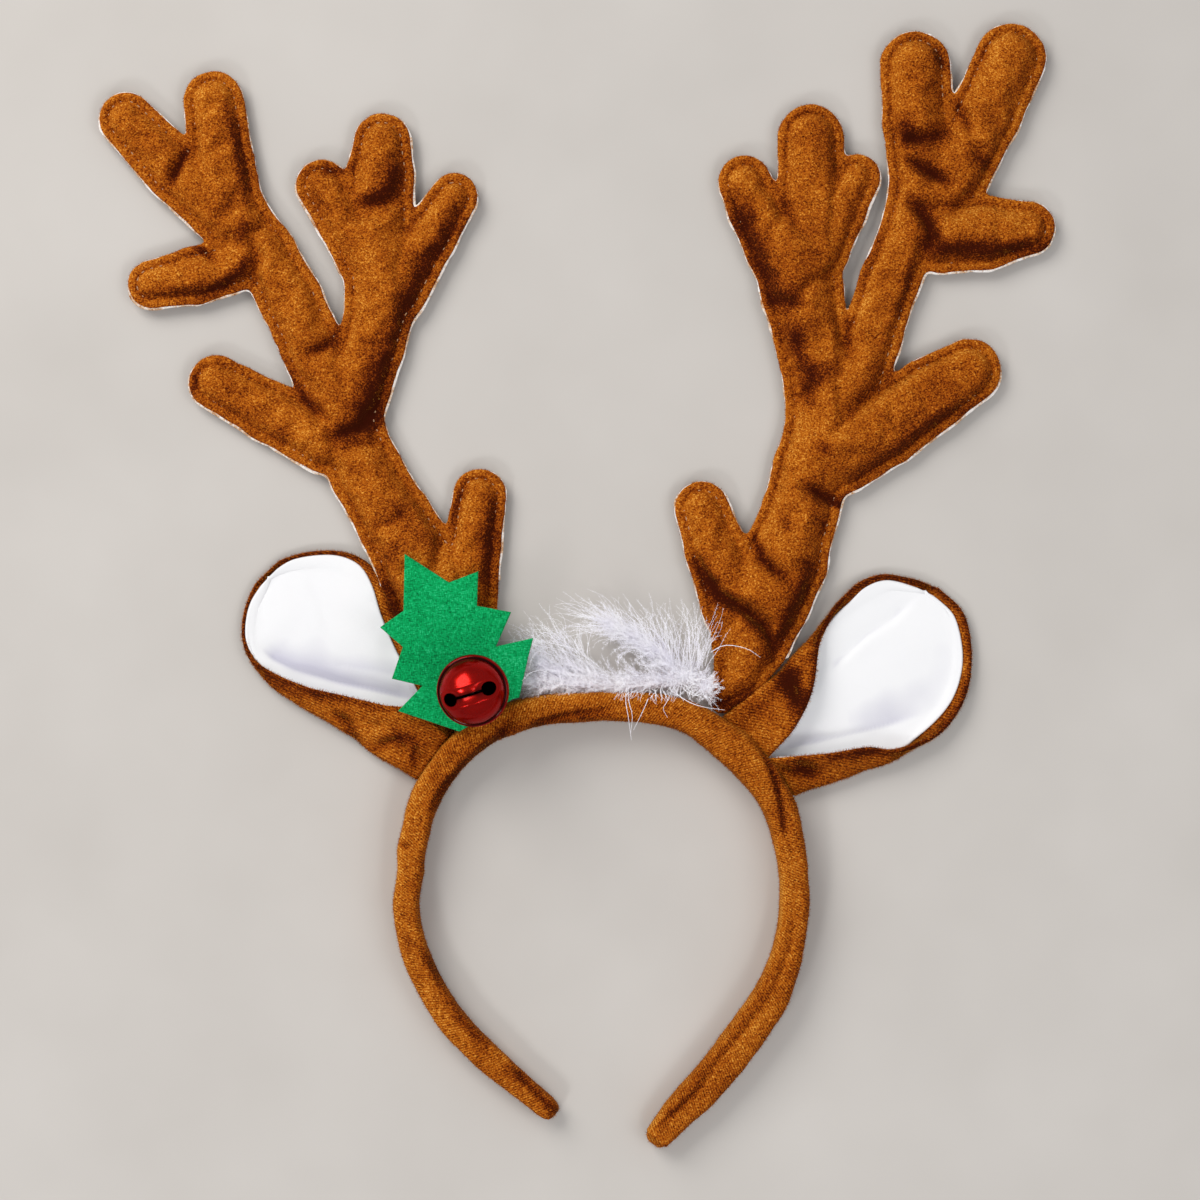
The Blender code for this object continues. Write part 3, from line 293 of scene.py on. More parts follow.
# Painted shade in the ears' creases and folds and where other parts lie close, some of it darker pile.
LEFT_EAR_SHADE_AND_NAP = (
    (0.8, 1.8, (-68.5, -55.7), (-64.7, -53.3), (-59.3, -51.9), (-54.5, -52.2)),
    (0.9, 1.8, (-81.8, -43.7), (-77.7, -47.5), (-75.6, -52.6)),
    (0.7, 1.4, (-90.7, -36.2), (-85.9, -39.6)),
    (0.6, 1.6, (-54.5, -53.3), (-56.2, -62.8)),
    (0.4, 1.4, (-62.7, -47.8), (-59.3, -54.6)),
    (0.5, 1.6, (-110.5, -29.4), (-103.3, -33.5), (-94.8, -37.6)),
    (0.7, 3.2, (-63.3, 0.3), (-60.6, -6.8), (-59.3, -13.3)),
)
RIGHT_EAR_SHADE_AND_NAP = (
    (1.7, 3.6, (71.0, -29.0), (73.6, -36.2), (75.0, -41.0)),
    (0.4, 8.0, (50.0, -44.0), (64.0, -42.0), (72.0, -34.0), (79.0, -21.0)),
    (1.3, 2.6, (73.5, -61.8), (80.8, -63.5)),
    (0.45, 2.2, (82.1, -18.4), (86.2, -10.2), (91.7, -2.7)),
    (0.4, 2.0, (86.2, -58.1), (103.3, -56.0)),
    (0.4, 2.6, (111.8, -53.3), (123.8, -46.4), (131.3, -35.5)),
)

LEAF_CORNERS = (
    (-58.6, 10.9), (-43.5, 1.2), (-33.6, 5.0), (-34.0, -6.7), (-22.4, -8.9), (-27.5, -20.5),
    (-14.9, -17.6), (-16.6, -24.1), (-19.6, -37.8), (-21.7, -38.2), (-33.0, -45.4),
    (-39.8, -49.2), (-60.6, -42.3), (-52.4, -33.8), (-62.7, -31.4), (-59.1, -20.7),
    (-66.8, -14.0), (-58.9, -8.4),
)
LEAF_THICKNESS = 1.6
LEAF_TOP_Y = 10.9
LEAF_LOW_Z = 10.95
LEAF_SLOPE = 0.083

BELL_CENTRE = (-35.7, -36.1)
BELL_RADIUS = 12.1
BELL_UPPER_RADIUS = 10.9
BELL_RING_TOP = 1.9
BELL_WALL = 0.8
BELL_REACH = BELL_RADIUS - BELL_WALL
# Crimped ring: how much wider than the bell, and height.
BELL_RING = ((0.05, 0.45), (0.02, 0.9), (-0.2, 1.35), (-0.55, 1.62), (-0.98, 1.66), (-1.18, 1.72))
BELL_SIDES = 96
BELL_HOLE_RADIUS = 2.35
SLOT_SEEN = 1.0
BELL_HOLE_ANGLE = math.radians(36.5)
HOLE_OFFSET = BELL_REACH * math.sin(BELL_HOLE_ANGLE)
# Width of the valley along the slot, and how far from its middle its lip lies.
SLOT_VALLEY = 1.5
LIP_GAP = 3.1
BELL_TILT = math.radians(8.0)
BELL_TILT_TOWARDS = math.radians(212.0)
BELL_SLOT_TURN = math.radians(17.0)
BELL_SHIFT = (1.0, 1.1, 0.15)
SHANK_RADIUS = 1.6
SHANK_LENGTH = 2.0
CLEARANCE = 0.3
PELLET_RADIUS = 2.6


# Small shape helpers.
def through_points(rows, steps):
    """A smooth curve through the rows of a table, each span cut into steps."""
    rows = np.asarray(rows, float)
    padded = np.vstack([2 * rows[0] - rows[1], rows, 2 * rows[-1] - rows[-2]])
    curve = []
    for index in range(1, len(padded) - 2):
        before, start, end, after = padded[index - 1:index + 3]
        t = (np.arange(steps) / steps)[:, None]
        curve.append(0.5 * (2 * start + (end - before) * t
                            + (2 * before - 5 * start + 4 * end - after) * t ** 2
                            + (3 * start - before - 3 * end + after) * t ** 3))
    return np.vstack(curve + [rows[-1:]])


def unit(vectors, least=1e-9):
    """The vectors made one long."""
    return vectors / np.maximum(np.linalg.norm(vectors, axis=-1), least)[..., None]


def swell(gap, width):
    """1 where there is no gap, running out softly over a width."""
    return np.exp(-(gap / width) ** 2)


def joined(parts):
    """Points and faces of one mesh made of several."""
    points, faces, total = [], [], 0
    for some, skin in parts:
        points.append(some)
        faces += [tuple(np.array(face) + total) for face in skin]
        total += len(some)
    return np.vstack(points), faces


def line_reach(line):
    """How far along a line each of its points lies."""
    return np.concatenate([[0], np.cumsum(np.linalg.norm(np.diff(line, axis=0), axis=1))])


def even_points(line, count):
    """The same line with evenly spaced points."""
    reach = line_reach(line)
    even = np.linspace(0.0, reach[-1], count)
    return np.column_stack([np.interp(even, reach, line[:, k]) for k in range(line.shape[1])])


def span_distance(points, x1, y1, x2, y2):
    """Distance from points to a straight span, and how far along it the nearest place is."""
    start, run = np.array((x1, y1)), np.array((x2 - x1, y2 - y1))
    t = np.clip((points - start) @ run / (run @ run), 0.0, 1.0)
    return np.linalg.norm(points - start - t[:, None] * run, axis=1), t


def distance_field(points, limbs):
    """Signed distance to the joined limbs, negative inside, with softly rounded crotches."""
    total = np.full(len(points), 1e6)
    for rows in limbs.values():
        for (x1, y1, w1), (x2, y2, w2) in zip(rows[:-1], rows[1:]):
            gap, t = span_distance(points, x1, y1, x2, y2)
            gap -= w1 + t * (w2 - w1)
            blend = np.maximum(LIMB_BLEND - np.abs(total - gap), 0.0) / LIMB_BLEND
            total = np.minimum(total, gap) - blend ** 2 * LIMB_BLEND / 4
    return total


def puff_height(points, limbs, inset):
    """Height of the stuffing over its seam: an oval over each limb, the highest one wins."""
    height = np.zeros(len(points))
    for rows in limbs.values():
        for (x1, y1, w1), (x2, y2, w2) in zip(rows[:-1], rows[1:]):
            gap, t = span_distance(points, x1, y1, x2, y2)
            width = w1 + t * (w2 - w1) - inset
            height = np.maximum(height, width * np.sqrt(np.clip(1.0 - (gap / width) ** 2, 0.0, 1.0)))
    return height


def line_distance(points, places):
    """Distance from points to a bent line, and the share of its length at the nearest place."""
    best, share = np.full(len(points), 1e6), np.zeros(len(points))
    spans = list(zip(places[:-1], places[1:]))
    for index, (start, end) in enumerate(spans):
        gap, t = span_distance(points, *start, *end)
        nearer = gap < best
        best = np.where(nearer, gap, best)
        share = np.where(nearer, (index + t) / len(spans), share)
    return best, share


def crease_depth(points, folds):
    """Depth of the creases: a sharp valley with soft shoulders that runs out at its ends."""
    depth = np.zeros(len(points))
    for deep, half_width, *places in folds:
        gap, t = line_distance(points, places)
        fade = np.clip(0.45 + 2.4 * np.minimum(t, 1.0 - t), 0.0, 1.0)
        depth = np.maximum(depth, deep * fade * np.exp(-(gap / half_width) ** 1.3))
    return depth


def soft_noise(points, size, seed):
    """Smooth noise from -1 to 1 with bumps of the given size."""
    grid = np.asarray(points, float) / size
    cell = np.floor(grid).astype(np.int64)
    part = grid - cell
    part = part * part * (3 - 2 * part)
    total = np.zeros(len(grid))
    primes = np.array((73856093, 19349663, 83492791))[:grid.shape[1]]
    for corner in itertools.product((0, 1), repeat=grid.shape[1]):
        corner = np.array(corner)
        key = ((cell + corner) @ primes + seed * 374761393) & 0x7fffffff
        key = ((key ^ (key >> 13)) * 1274126177) & 0x7fffffff
        key = ((key ^ (key >> 16)) * 668265263) & 0x7fffffff
        value = (key ^ (key >> 15)) / 0x3fffffff - 1.0
        total += value * np.prod(np.where(corner, part, 1.0 - part), axis=1)
    return total


def noise_sum(points, layers):
    """Sum of smooth noises, from rows of strength, bump size and seed."""
    return sum(strength * soft_noise(points, size, seed) for strength, size, seed in layers)


def trace_outline(limbs, level, step=1.0):
    """The closed loops where the distance field has the given level, by marching squares."""
    ends = np.array([row for rows in limbs.values() for row in rows])
    margin = ends[:, 2].max() + 4 * step
    low, high = ends[:, :2].min(axis=0) - margin, ends[:, :2].max(axis=0) + margin
    xs, ys = np.arange(low[0], high[0], step), np.arange(low[1], high[1], step)
    grid = np.stack(np.meshgrid(xs, ys, indexing="ij"), axis=-1)
    values = distance_field(grid.reshape(-1, 2), limbs).reshape(len(xs), len(ys)) - level
    values[values == 0.0] = 1e-9

    def crossing(a, b):
        share = values[a] / (values[a] - values[b])
        return tuple(grid[a] + share * (grid[b] - grid[a]))

    links = {}
    inside = values < 0
    mixed = inside[:-1, :-1].astype(int) + inside[1:, :-1] + inside[1:, 1:] + inside[:-1, 1:]
    for i, j in zip(*np.nonzero((mixed > 0) & (mixed < 4))):
        corners = ((i, j), (i + 1, j), (i + 1, j + 1), (i, j + 1))
        cuts = []
        for first, second in zip(corners, corners[1:] + corners[:1]):
            if inside[first] != inside[second]:
                key = (min(first, second), max(first, second))
                cuts.append((key, crossing(*key)))
        for one, two in zip(cuts[0::2], cuts[1::2]):
            links.setdefault(one[0], []).append(two)
            links.setdefault(two[0], []).append(one)
    loops = []
    while links:
        key = next(iter(links))
        loop = []
        while key in links:
            nexts = links.pop(key)
            step_to = next((n for n in nexts if n[0] in links), None)
            if step_to is None:
                break
            key = step_to[0]
            loop.append(step_to[1])
        if len(loop) > 8:
            loops.append(np.array(loop))
    return loops


def even_loop(loop, pitch):
    """A closed loop with evenly spaced points."""
    closed = np.vstack([loop, loop[:1]])
    length = np.linalg.norm(np.diff(closed, axis=0), axis=1).sum()
    return even_points(closed, max(int(round(length / pitch)), 8) + 1)[:-1]


def field_normal(points, limbs):
    """Unit direction out of the outline at each point."""
    step = 0.05
    slope = np.column_stack([
        distance_field(points + (step, 0), limbs) - distance_field(points - (step, 0), limbs),
        distance_field(points + (0, step), limbs) - distance_field(points - (0, step), limbs)])
    return unit(slope)


def triangulate(loops, inner_points):
    """Triangles between the outer loop, the rings inside it and the loose inner points."""
    coords, edges = [], []
    for loop in loops:
        base = len(coords)
        coords += [Vector(point) for point in loop]
        edges += [(base + i, base + (i + 1) % len(loop)) for i in range(len(loop))]
    coords += [Vector(point) for point in inner_points]
    verts, _, faces, _, _, _ = delaunay_2d_cdt(coords, edges, [], 1, 1e-5)
    flat = np.array([tuple(v) for v in verts])
    faces = np.array(faces)
    a, b, c = flat[faces[:, 0]], flat[faces[:, 1]], flat[faces[:, 2]]
    turn = (b[:, 0] - a[:, 0]) * (c[:, 1] - a[:, 1]) - (b[:, 1] - a[:, 1]) * (c[:, 0] - a[:, 0])
    faces[turn < 0] = faces[turn < 0][:, ::-1]
    return flat, faces[np.abs(turn) > 1e-6]


def rim_edges(faces):
    """Directed edges that only one triangle uses."""
    pairs = np.vstack([faces[:, [0, 1]], faces[:, [1, 2]], faces[:, [2, 0]]])
    have = set(map(tuple, pairs))
    return [(a, b) for a, b in pairs if (b, a) not in have]


def two_sided(faces, count):
    """Faces of a closed body whose underside repeats its upper side's points."""
    skin = [tuple(face) for face in faces]
    skin += [(a + count, c + count, b + count) for a, b, c in faces]
    skin += [(b, a, a + count, b + count) for a, b in rim_edges(faces)]
    return skin


def hex_grid(low, high, pitch):
    """Points of a triangular grid that fills a box."""
    rows = np.arange(low[1], high[1], pitch * math.sqrt(0.75))
    columns = np.arange(low[0], high[0], pitch)
    return np.array([(x + 0.5 * pitch * (j % 2), y) for j, y in enumerate(rows) for x in columns])


def inner_grid(limbs, pitch, inset):
    """Points of a triangular grid that lie deeper inside the limbs than the inset."""
    ends = np.array([row for rows in limbs.values() for row in rows])
    grid = hex_grid(ends[:, :2].min(axis=0) - 20.0, ends[:, :2].max(axis=0) + 20.0, pitch)
    return grid[distance_field(grid, limbs) < -inset]


def mesh_points(mesh, what="co"):
    """A row of numbers for each vertex of a mesh: its place, or its normal."""
    flat = np.empty(len(mesh.vertices) * 3)
    mesh.vertices.foreach_get(what, flat)
    return flat.reshape(-1, 3)


def set_mesh_points(mesh, points):
    """Move the vertices of a mesh."""
    mesh.vertices.foreach_set("co", np.ascontiguousarray(points, float).ravel())
    mesh.update()


def mesh_normals(mesh):
    return mesh_points(mesh, "normal")


def set_shade(mesh, values, name="painted_shade_and_tone"):
    """Keep a number for each vertex, read by the material."""
    layer = mesh.attributes.new(name, "FLOAT", "POINT")
    layer.data.foreach_set("value", np.asarray(values, float))


def add_piece(name, points, faces, material, slot=None, replaces=None, sharp=None, ride=True):
    """A mesh object from points in millimetres, riding the body."""
    mesh = bpy.data.meshes.new(name)
    mesh.from_pydata((np.asarray(points, float) * MM).tolist(), [],
                     faces.tolist() if isinstance(faces, np.ndarray) else faces)
    if material is not None:
        mesh.materials.append(material)
    mesh.shade_smooth()
    if sharp is not None:
        mesh.set_sharp_from_angle(angle=math.radians(sharp))
    mesh.update()
    item = bpy.data.objects.new(name, mesh)
    bpy.context.scene.collection.objects.link(item)
    if ride:
        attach(item, "root")
    if replaces:
        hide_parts(replaces)
    return item


def baked_mesh(item):
    """The object's mesh with its modifiers applied."""
    graph = bpy.context.evaluated_depsgraph_get()
    return bpy.data.meshes.new_from_object(item.evaluated_get(graph), depsgraph=graph)


def apply_modifiers(item):
    """Replace the object's mesh by the one that its modifiers make."""
    old = item.data
    item.data = baked_mesh(item)
    item.modifiers.clear()
    item.data.name = old.name
    bpy.data.meshes.remove(old)


def tube_faces(count, steps, sides):
    """Faces of closed tubes, each of them steps rings of sides points."""
    first = np.arange(count) * steps * sides
    i, ring = np.arange(sides), (np.arange(steps - 1) * sides)[:, None]
    k = (i + 1) % sides
    quads = np.stack([ring + i, ring + k, ring + sides + k, ring + sides + i], axis=-1)
    quads = (first[:, None, None, None] + quads).reshape(-1, 4)
    faces = [tuple(quad) for quad in quads]
    for start in first:
        faces.append(tuple(start + i[::-1]))
        faces.append(tuple(start + (steps - 1) * sides + i))
    return faces


def tube_set(paths, radii, sides):
    """One mesh of tapered tubes with closed ends. paths is (count, steps, 3), radii (steps,)."""
    paths = np.asarray(paths, float)
    count, steps = paths.shape[:2]
    runs = unit(np.gradient(paths, axis=1))
    up = np.where(np.abs(runs[..., 2:3]) > 0.9, np.array((1.0, 0, 0)), np.array((0, 0, 1.0)))
    side = unit(np.cross(runs, up))
    lift = np.cross(side, runs)
    angles = 2 * math.pi * np.arange(sides) / sides
    radii = np.broadcast_to(np.asarray(radii, float), (count, steps))
    rings = paths[:, :, None] + radii[..., None, None] * (
        np.cos(angles)[:, None] * side[:, :, None] + np.sin(angles)[:, None] * lift[:, :, None])
    return rings.reshape(-1, 3), tube_faces(count, steps, sides)


# Materials.
class Paint:
    """Short ways to add and link the nodes of one material."""

    def __init__(self, name):
        self.material = bpy.data.materials.new(name)
        self.material.use_nodes = True
        self.tree = self.material.node_tree
        self.shader = self.tree.nodes["Principled BSDF"]
        self.coords = self.tree.nodes.new("ShaderNodeTexCoord").outputs["Object"]

    def put(self, socket, value):
        """Link an output to a socket, or give it a number or colour."""
        if hasattr(value, "is_linked"):
            self.tree.links.new(value, socket)
        elif isinstance(value, tuple) and len(value) == 3 and socket.type == "RGBA":
            socket.default_value = (*value, 1.0)
        else:
            socket.default_value = value

    def set(self, **values):
        """Inputs of the shader by name."""
        for key, value in values.items():
            self.put(self.shader.inputs[key.replace("_", " ").title().replace("Ior", "IOR")], value)

    def stretch(self, scale, turn=0.0):
        """Coordinates turned about the vertical and stretched."""
        node = self.tree.nodes.new("ShaderNodeMapping")
        self.put(node.inputs["Vector"], self.coords)
        node.inputs["Rotation"].default_value = (0.0, 0.0, turn)
        node.inputs["Scale"].default_value = scale
        return node.outputs["Vector"]

    def noise(self, scale, detail=2.0, rough=0.5, coords=None):
        node = self.tree.nodes.new("ShaderNodeTexNoise")
        self.put(node.inputs["Vector"], coords or self.coords)
        node.inputs["Scale"].default_value = scale
        node.inputs["Detail"].default_value = detail
        node.inputs["Roughness"].default_value = rough
        return node.outputs["Fac"]

    def cells(self, scale, feature="F1", coords=None):
        node = self.tree.nodes.new("ShaderNodeTexVoronoi")
        node.feature = feature
        self.put(node.inputs["Vector"], coords or self.coords)
        node.inputs["Scale"].default_value = scale
        return node.outputs["Distance"]

    def attribute(self, name):
        node = self.tree.nodes.new("ShaderNodeAttribute")
        node.attribute_name = name
        return node.outputs["Fac"]

    def math(self, kind, a, b=0.0, clamp=False):
        node = self.tree.nodes.new("ShaderNodeMath")
        node.operation = kind
        node.use_clamp = clamp
        self.put(node.inputs[0], a)
        self.put(node.inputs[1], b)
        return node.outputs[0]

    def total(self, *parts):
        """Weighted sum of outputs, from pairs of output and weight."""
        tone = None
        for output, weight in parts:
            share = self.math("MULTIPLY", output, weight)
            tone = share if tone is None else self.math("ADD", tone, share)
        return tone

    def ramp(self, factor, stops):
        node = self.tree.nodes.new("ShaderNodeValToRGB")
        ramp = node.color_ramp
        while len(ramp.elements) < len(stops):
            ramp.elements.new(0.5)
        for element, (place, color) in zip(ramp.elements, stops):
            element.position = place
            color = color if isinstance(color, tuple) else (color,) * 3
            element.color = (*color, 1.0)
        self.put(node.inputs["Fac"], factor)
        return node.outputs["Color"]

    def mix(self, factor, a, b, kind="MIX"):
        node = self.tree.nodes.new("ShaderNodeMix")
        node.data_type = "RGBA"
        node.blend_type = kind
        self.put(node.inputs["Factor"], factor)
        colors = [s for s in node.inputs if s.type == "RGBA"]
        self.put(colors[0], a)
        self.put(colors[1], b)
        return [s for s in node.outputs if s.type == "RGBA"][0]

    def bump(self, height, distance, strength=1.0):
        node = self.tree.nodes.new("ShaderNodeBump")
        node.inputs["Strength"].default_value = strength
        node.inputs["Distance"].default_value = distance
        self.put(node.inputs["Height"], height)
        self.put(self.shader.inputs["Normal"], node.outputs["Normal"])


def velvet(name, dark=0.0, grain_turn=0.0, ribs=0.0):
    """Crushed velvet: a golden-brown pile of painted glinting specks, darkened by painted shade in creases,
    grooves and on slopes away from the light, and where it is brushed.
    """
    paint = Paint(name)
    speckle = paint.noise(2000.0, 1.0, 0.6)
    glint = paint.noise(1150.0, 0.0, 0.5)
    rows = paint.noise(1300.0, 1.0, 0.6, paint.stretch((1.0, 3.4, 1.0), grain_turn))
    broad = paint.noise(170.0, 3.0, 0.6)
    tone = paint.total((speckle, 1.25), (glint, 0.45), (rows, 0.75), (broad, 0.40))
    if ribs:
        wave = paint.math("SINE", paint.math("MULTIPLY", paint.attribute("rib"), 2 * math.pi))
        tone = paint.math("ADD", tone, paint.math("MULTIPLY", wave, ribs))
    tone = paint.math("SUBTRACT", tone, 0.925 + dark)
    # Painted shade and the pile's tone, from the vertex attribute, darken the colour.
    tone = paint.math("SUBTRACT", tone, paint.attribute("painted_shade_and_tone"), clamp=True)
    # The darkest stops give the dark red brown of the painted shade.
    color = paint.ramp(tone, ((0.0, (0.040, 0.0042, 0.0008)), (0.25, (0.135, 0.020, 0.0014)),
                              (0.50, (0.335, 0.074, 0.0042)), (0.74, (0.50, 0.145, 0.0085)),
                              (1.0, (0.80, 0.36, 0.055))))
    paint.set(base_color=color, roughness=0.9, specular_ior_level=0.04, sheen_weight=0.10,
              sheen_roughness=0.45, sheen_tint=(1.0, 0.42, 0.06))
    relief = paint.math("ADD", speckle, paint.math("MULTIPLY", rows, 0.6))
    if ribs:
        relief = paint.math("ADD", relief, paint.math("MULTIPLY", wave, 0.3))
    paint.bump(relief, 0.0006, 0.7)
    return paint.material


def satin(name):
    """White polyester satin with a very fine weave, painted lavender grey as shade in its folds."""
    paint = Paint(name)
    broad = paint.noise(30.0, 2.0, 0.5)
    weave = paint.noise(1500.0, 1.0, 0.5, paint.stretch((1.0, 5.0, 1.0), 0.5))
    # Painted shade in the lining's folds, from the vertex attribute, turns the satin lavender grey.
    tone = paint.math("SUBTRACT", broad, paint.attribute("painted_shade_and_tone"))
    color = paint.ramp(tone, ((0.0, (0.52, 0.51, 0.60)), (0.42, (0.80, 0.798, 0.812)),
                              (1.0, (0.845, 0.843, 0.848))))
    paint.set(base_color=color, roughness=0.42, sheen_weight=0.15, sheen_roughness=0.3,
              specular_ior_level=0.45, anisotropic=0.4)
    paint.bump(weave, 0.00008, 0.5)
    return paint.material


def raw_edge(name):
    """The cut edge of the velvet's pale knitted ground, frayed and mixed with pile."""
    paint = Paint(name)
    fray = paint.noise(1300.0, 2.0, 0.7)
    patch = paint.noise(190.0, 2.0, 0.6)
    tone = paint.total((fray, 0.6), (patch, 0.8))
    color = paint.ramp(tone, ((0.48, (0.34, 0.115, 0.022)), (0.62, (0.62, 0.42, 0.27)),
                              (0.76, (0.80, 0.74, 0.69)), (0.95, (0.90, 0.88, 0.86))))
    paint.set(base_color=color, roughness=0.95, specular_ior_level=0.1)
    paint.bump(fray, 0.0003, 0.8)
    return paint.material


def thread(name, low, high):
    """Twisted sewing thread."""
    paint = Paint(name)
    twist = paint.noise(2600.0, 1.0, 0.5)
    paint.set(base_color=paint.ramp(twist, ((0.3, low), (0.7, high))), roughness=0.6, sheen_weight=0.3)
    paint.bump(twist, 0.0001, 0.6)
    return paint.material


def felt(name):
    """Pressed green felt: matted fibres with pale and dark flecks."""
    paint = Paint(name)
    fibres = paint.noise(750.0, 2.5, 0.6, paint.stretch((1.0, 3.4, 1.0), 0.8))
    crossed = paint.noise(800.0, 2.5, 0.6, paint.stretch((3.2, 1.0, 1.0), 0.35))
    broad = paint.noise(60.0, 3.0, 0.6)
    tone = paint.total((fibres, 1.1), (crossed, 1.0), (broad, 0.4))
    tone = paint.math("SUBTRACT", tone, 0.72, clamp=True)
    color = paint.ramp(tone, ((0.22, (0.0005, 0.125, 0.034)), (0.48, (0.0012, 0.30, 0.080)),
                              (0.66, (0.003, 0.40, 0.120)), (0.92, (0.045, 0.58, 0.25))))
    paint.set(base_color=color, roughness=0.95, sheen_weight=0.05, sheen_roughness=0.5,
              specular_ior_level=0.05)
    paint.bump(tone, 0.0006, 0.7)
    return paint.material


def lacquer(name):
    """Deep red metallic lacquer of the bell, with painted shade in its slot and inside, faintly scuffed."""
    paint = Paint(name)
    worn = paint.noise(260.0, 4.0, 0.6)
    mottle = paint.noise(90.0, 2.0, 0.5)
    color = paint.ramp(mottle, ((0.3, (0.27, 0.0030, 0.0018)), (0.7, (0.38, 0.0060, 0.0036))))
    # Painted shade: the valley of the slot and the inside of the bell are darkened to near black.
    color = paint.mix(paint.attribute("painted_shade_and_tone"), color, (0.018, 0.0006, 0.0005))
    paint.set(base_color=color, roughness=paint.ramp(worn, ((0.3, 0.20), (0.75, 0.32))), metallic=0.85,
              coat_weight=0.12, coat_roughness=0.05, specular_ior_level=0.3,
              specular_tint=(0.75, 0.10, 0.07))
    paint.bump(paint.noise(420.0, 3.0, 0.6), 0.00010, 0.35)
    return paint.material


def steel(name):
    """Plain turned steel of the pellet."""
    paint = Paint(name)
    marks = paint.noise(700.0, 3.0, 0.6, paint.stretch((1.0, 1.0, 6.0)))
    color = paint.ramp(marks, ((0.3, (0.35, 0.34, 0.34)), (0.7, (0.52, 0.51, 0.50))))
    paint.set(base_color=color, roughness=paint.ramp(marks, ((0.3, 0.28), (0.7, 0.42))), metallic=1.0)
    paint.bump(marks, 0.00005, 0.4)
    return paint.material


def down(name):
    """White down, with faintly lavender patches painted at random as the shade in its depth."""
    paint = Paint(name)
    patch = paint.noise(120.0, 2.0, 0.5)
    fine = paint.noise(1700.0, 2.0, 0.6)
    tone = paint.total((patch, 0.7), (fine, 0.3))
    color = paint.ramp(tone, ((0.25, (0.80, 0.78, 0.88)), (0.6, (0.93, 0.92, 0.96)),
                              (0.85, (0.96, 0.95, 0.97))))
    paint.set(base_color=color, roughness=0.7, sheen_weight=0.4, sheen_roughness=0.4,
              specular_ior_level=0.2)
    return paint.material


def floor_paint():
    """Plain pale floor with a barely visible mottle."""
    paint = Paint("pale_floor")
    mottle = paint.noise(14.0, 3.0, 0.5)
    color = paint.ramp(mottle, ((0.3, (0.50, 0.47, 0.44)), (0.7, (0.54, 0.51, 0.48))))
    paint.set(base_color=color, roughness=0.85, specular_ior_level=0.15)
    return paint.material


# Padded antlers.
SHEET_PITCH = 2.1
RING_PITCH = 1.6
# Half thickness of the seam flange against the distance inside the cut edge.
FLANGE_PROFILE = ((0.3, 0.28), (0.9, 0.72), (2.0, 0.98), (2.9, 0.78), (3.5, 0.22))
# The covers are blown up ten times life size, in this many frames.
SIM_SCALE = 10.0
SIM_FRAMES = 20
CLOTH = {
    "quality": 4, "mass": 0.2, "tension_stiffness": 20.0, "compression_stiffness": 20.0,
    "shear_stiffness": 10.0, "bending_stiffness": 0.6, "tension_damping": 12.0,
    "compression_damping": 12.0, "bending_damping": 2.0, "air_damping": 2.0, "use_pressure": True,
    "uniform_pressure_force": 8.0, "shrink_min": -0.05, "vertex_group_mass": "seam",
    "pin_stiffness": 50.0,
}
# Length of one stitch and its gap, and the spacing of points along the seam.
STITCH_PITCH = 3.2
SEAM_STEP = 0.8
STITCH_STEP = 0.4
# Noises as rows of strength, bump size and seed: the cut edge in plan, the seam's height, the pale edge's
# height, and the light and dark patches of the pile.
RAGGED = ((0.22, 5.0, 3), (0.12, 2.0, 4))
SEAM_WAVE = ((0.35, 16.0, 8), (0.20, 6.0, 9))
EDGE_WAVE = ((0.30, 16.0, 8), (0.20, 6.0, 9))
NAP_PATCHES = ((0.07, 24.0, 31), (0.07, 8.0, 32))
# A point that the simulation moves further than this keeps its place.
FURTHEST_PUFF = 6.0
# Height below which the cloth is pressed flat by the table.
SETTLED = 0.6


def antler_pattern(limbs):
    """Flat points, triangles and depth inside the cut edge of one antler."""
    rings = []
    for inset, _ in FLANGE_PROFILE:
        for loop in trace_outline(limbs, -inset):
            ring = even_loop(loop, RING_PITCH)
            if inset == FLANGE_PROFILE[0][0]:
                ring = ring + field_normal(ring, limbs) * noise_sum(ring, RAGGED)[:, None]
            rings.append(ring)
    middle = inner_grid(limbs, SHEET_PITCH, STITCH_INSET + 0.6 * SHEET_PITCH)
    flat, faces = triangulate(rings, middle)
    return flat, faces, -distance_field(flat, limbs)


def blown_shapes(flat_shapes):
    """Points in millimetres of the sewn covers of all the antlers, blown up together."""
    scene = bpy.context.scene
    covers = []
    for points, faces, pinned in flat_shapes:
        mesh = bpy.data.meshes.new("cover")
        mesh.from_pydata((points * MM * SIM_SCALE).tolist(), [], faces)
        item = bpy.data.objects.new("cover", mesh)
        scene.collection.objects.link(item)
        group = item.vertex_groups.new(name="seam")
        group.add([int(i) for i in np.nonzero(pinned)[0]], 1.0, "REPLACE")
        cloth = item.modifiers.new("cover", "CLOTH")
        for key, value in CLOTH.items():
            setattr(cloth.settings, key, value)
        cloth.settings.effector_weights.gravity = 0.0
        cloth.collision_settings.use_collision = False
        cloth.collision_settings.use_self_collision = False
        cloth.point_cache.frame_start = 1
        cloth.point_cache.frame_end = SIM_FRAMES + 5
        covers.append(item)
    for step in range(1, SIM_FRAMES + 1):
        scene.frame_set(step)
    blown = []
    for item in covers:
        mesh = baked_mesh(item)
        blown.append(mesh_points(mesh) / (MM * SIM_SCALE))
        old = item.data
        bpy.data.objects.remove(item)
        bpy.data.meshes.remove(old)
        bpy.data.meshes.remove(mesh)
    scene.frame_set(1)
    return blown


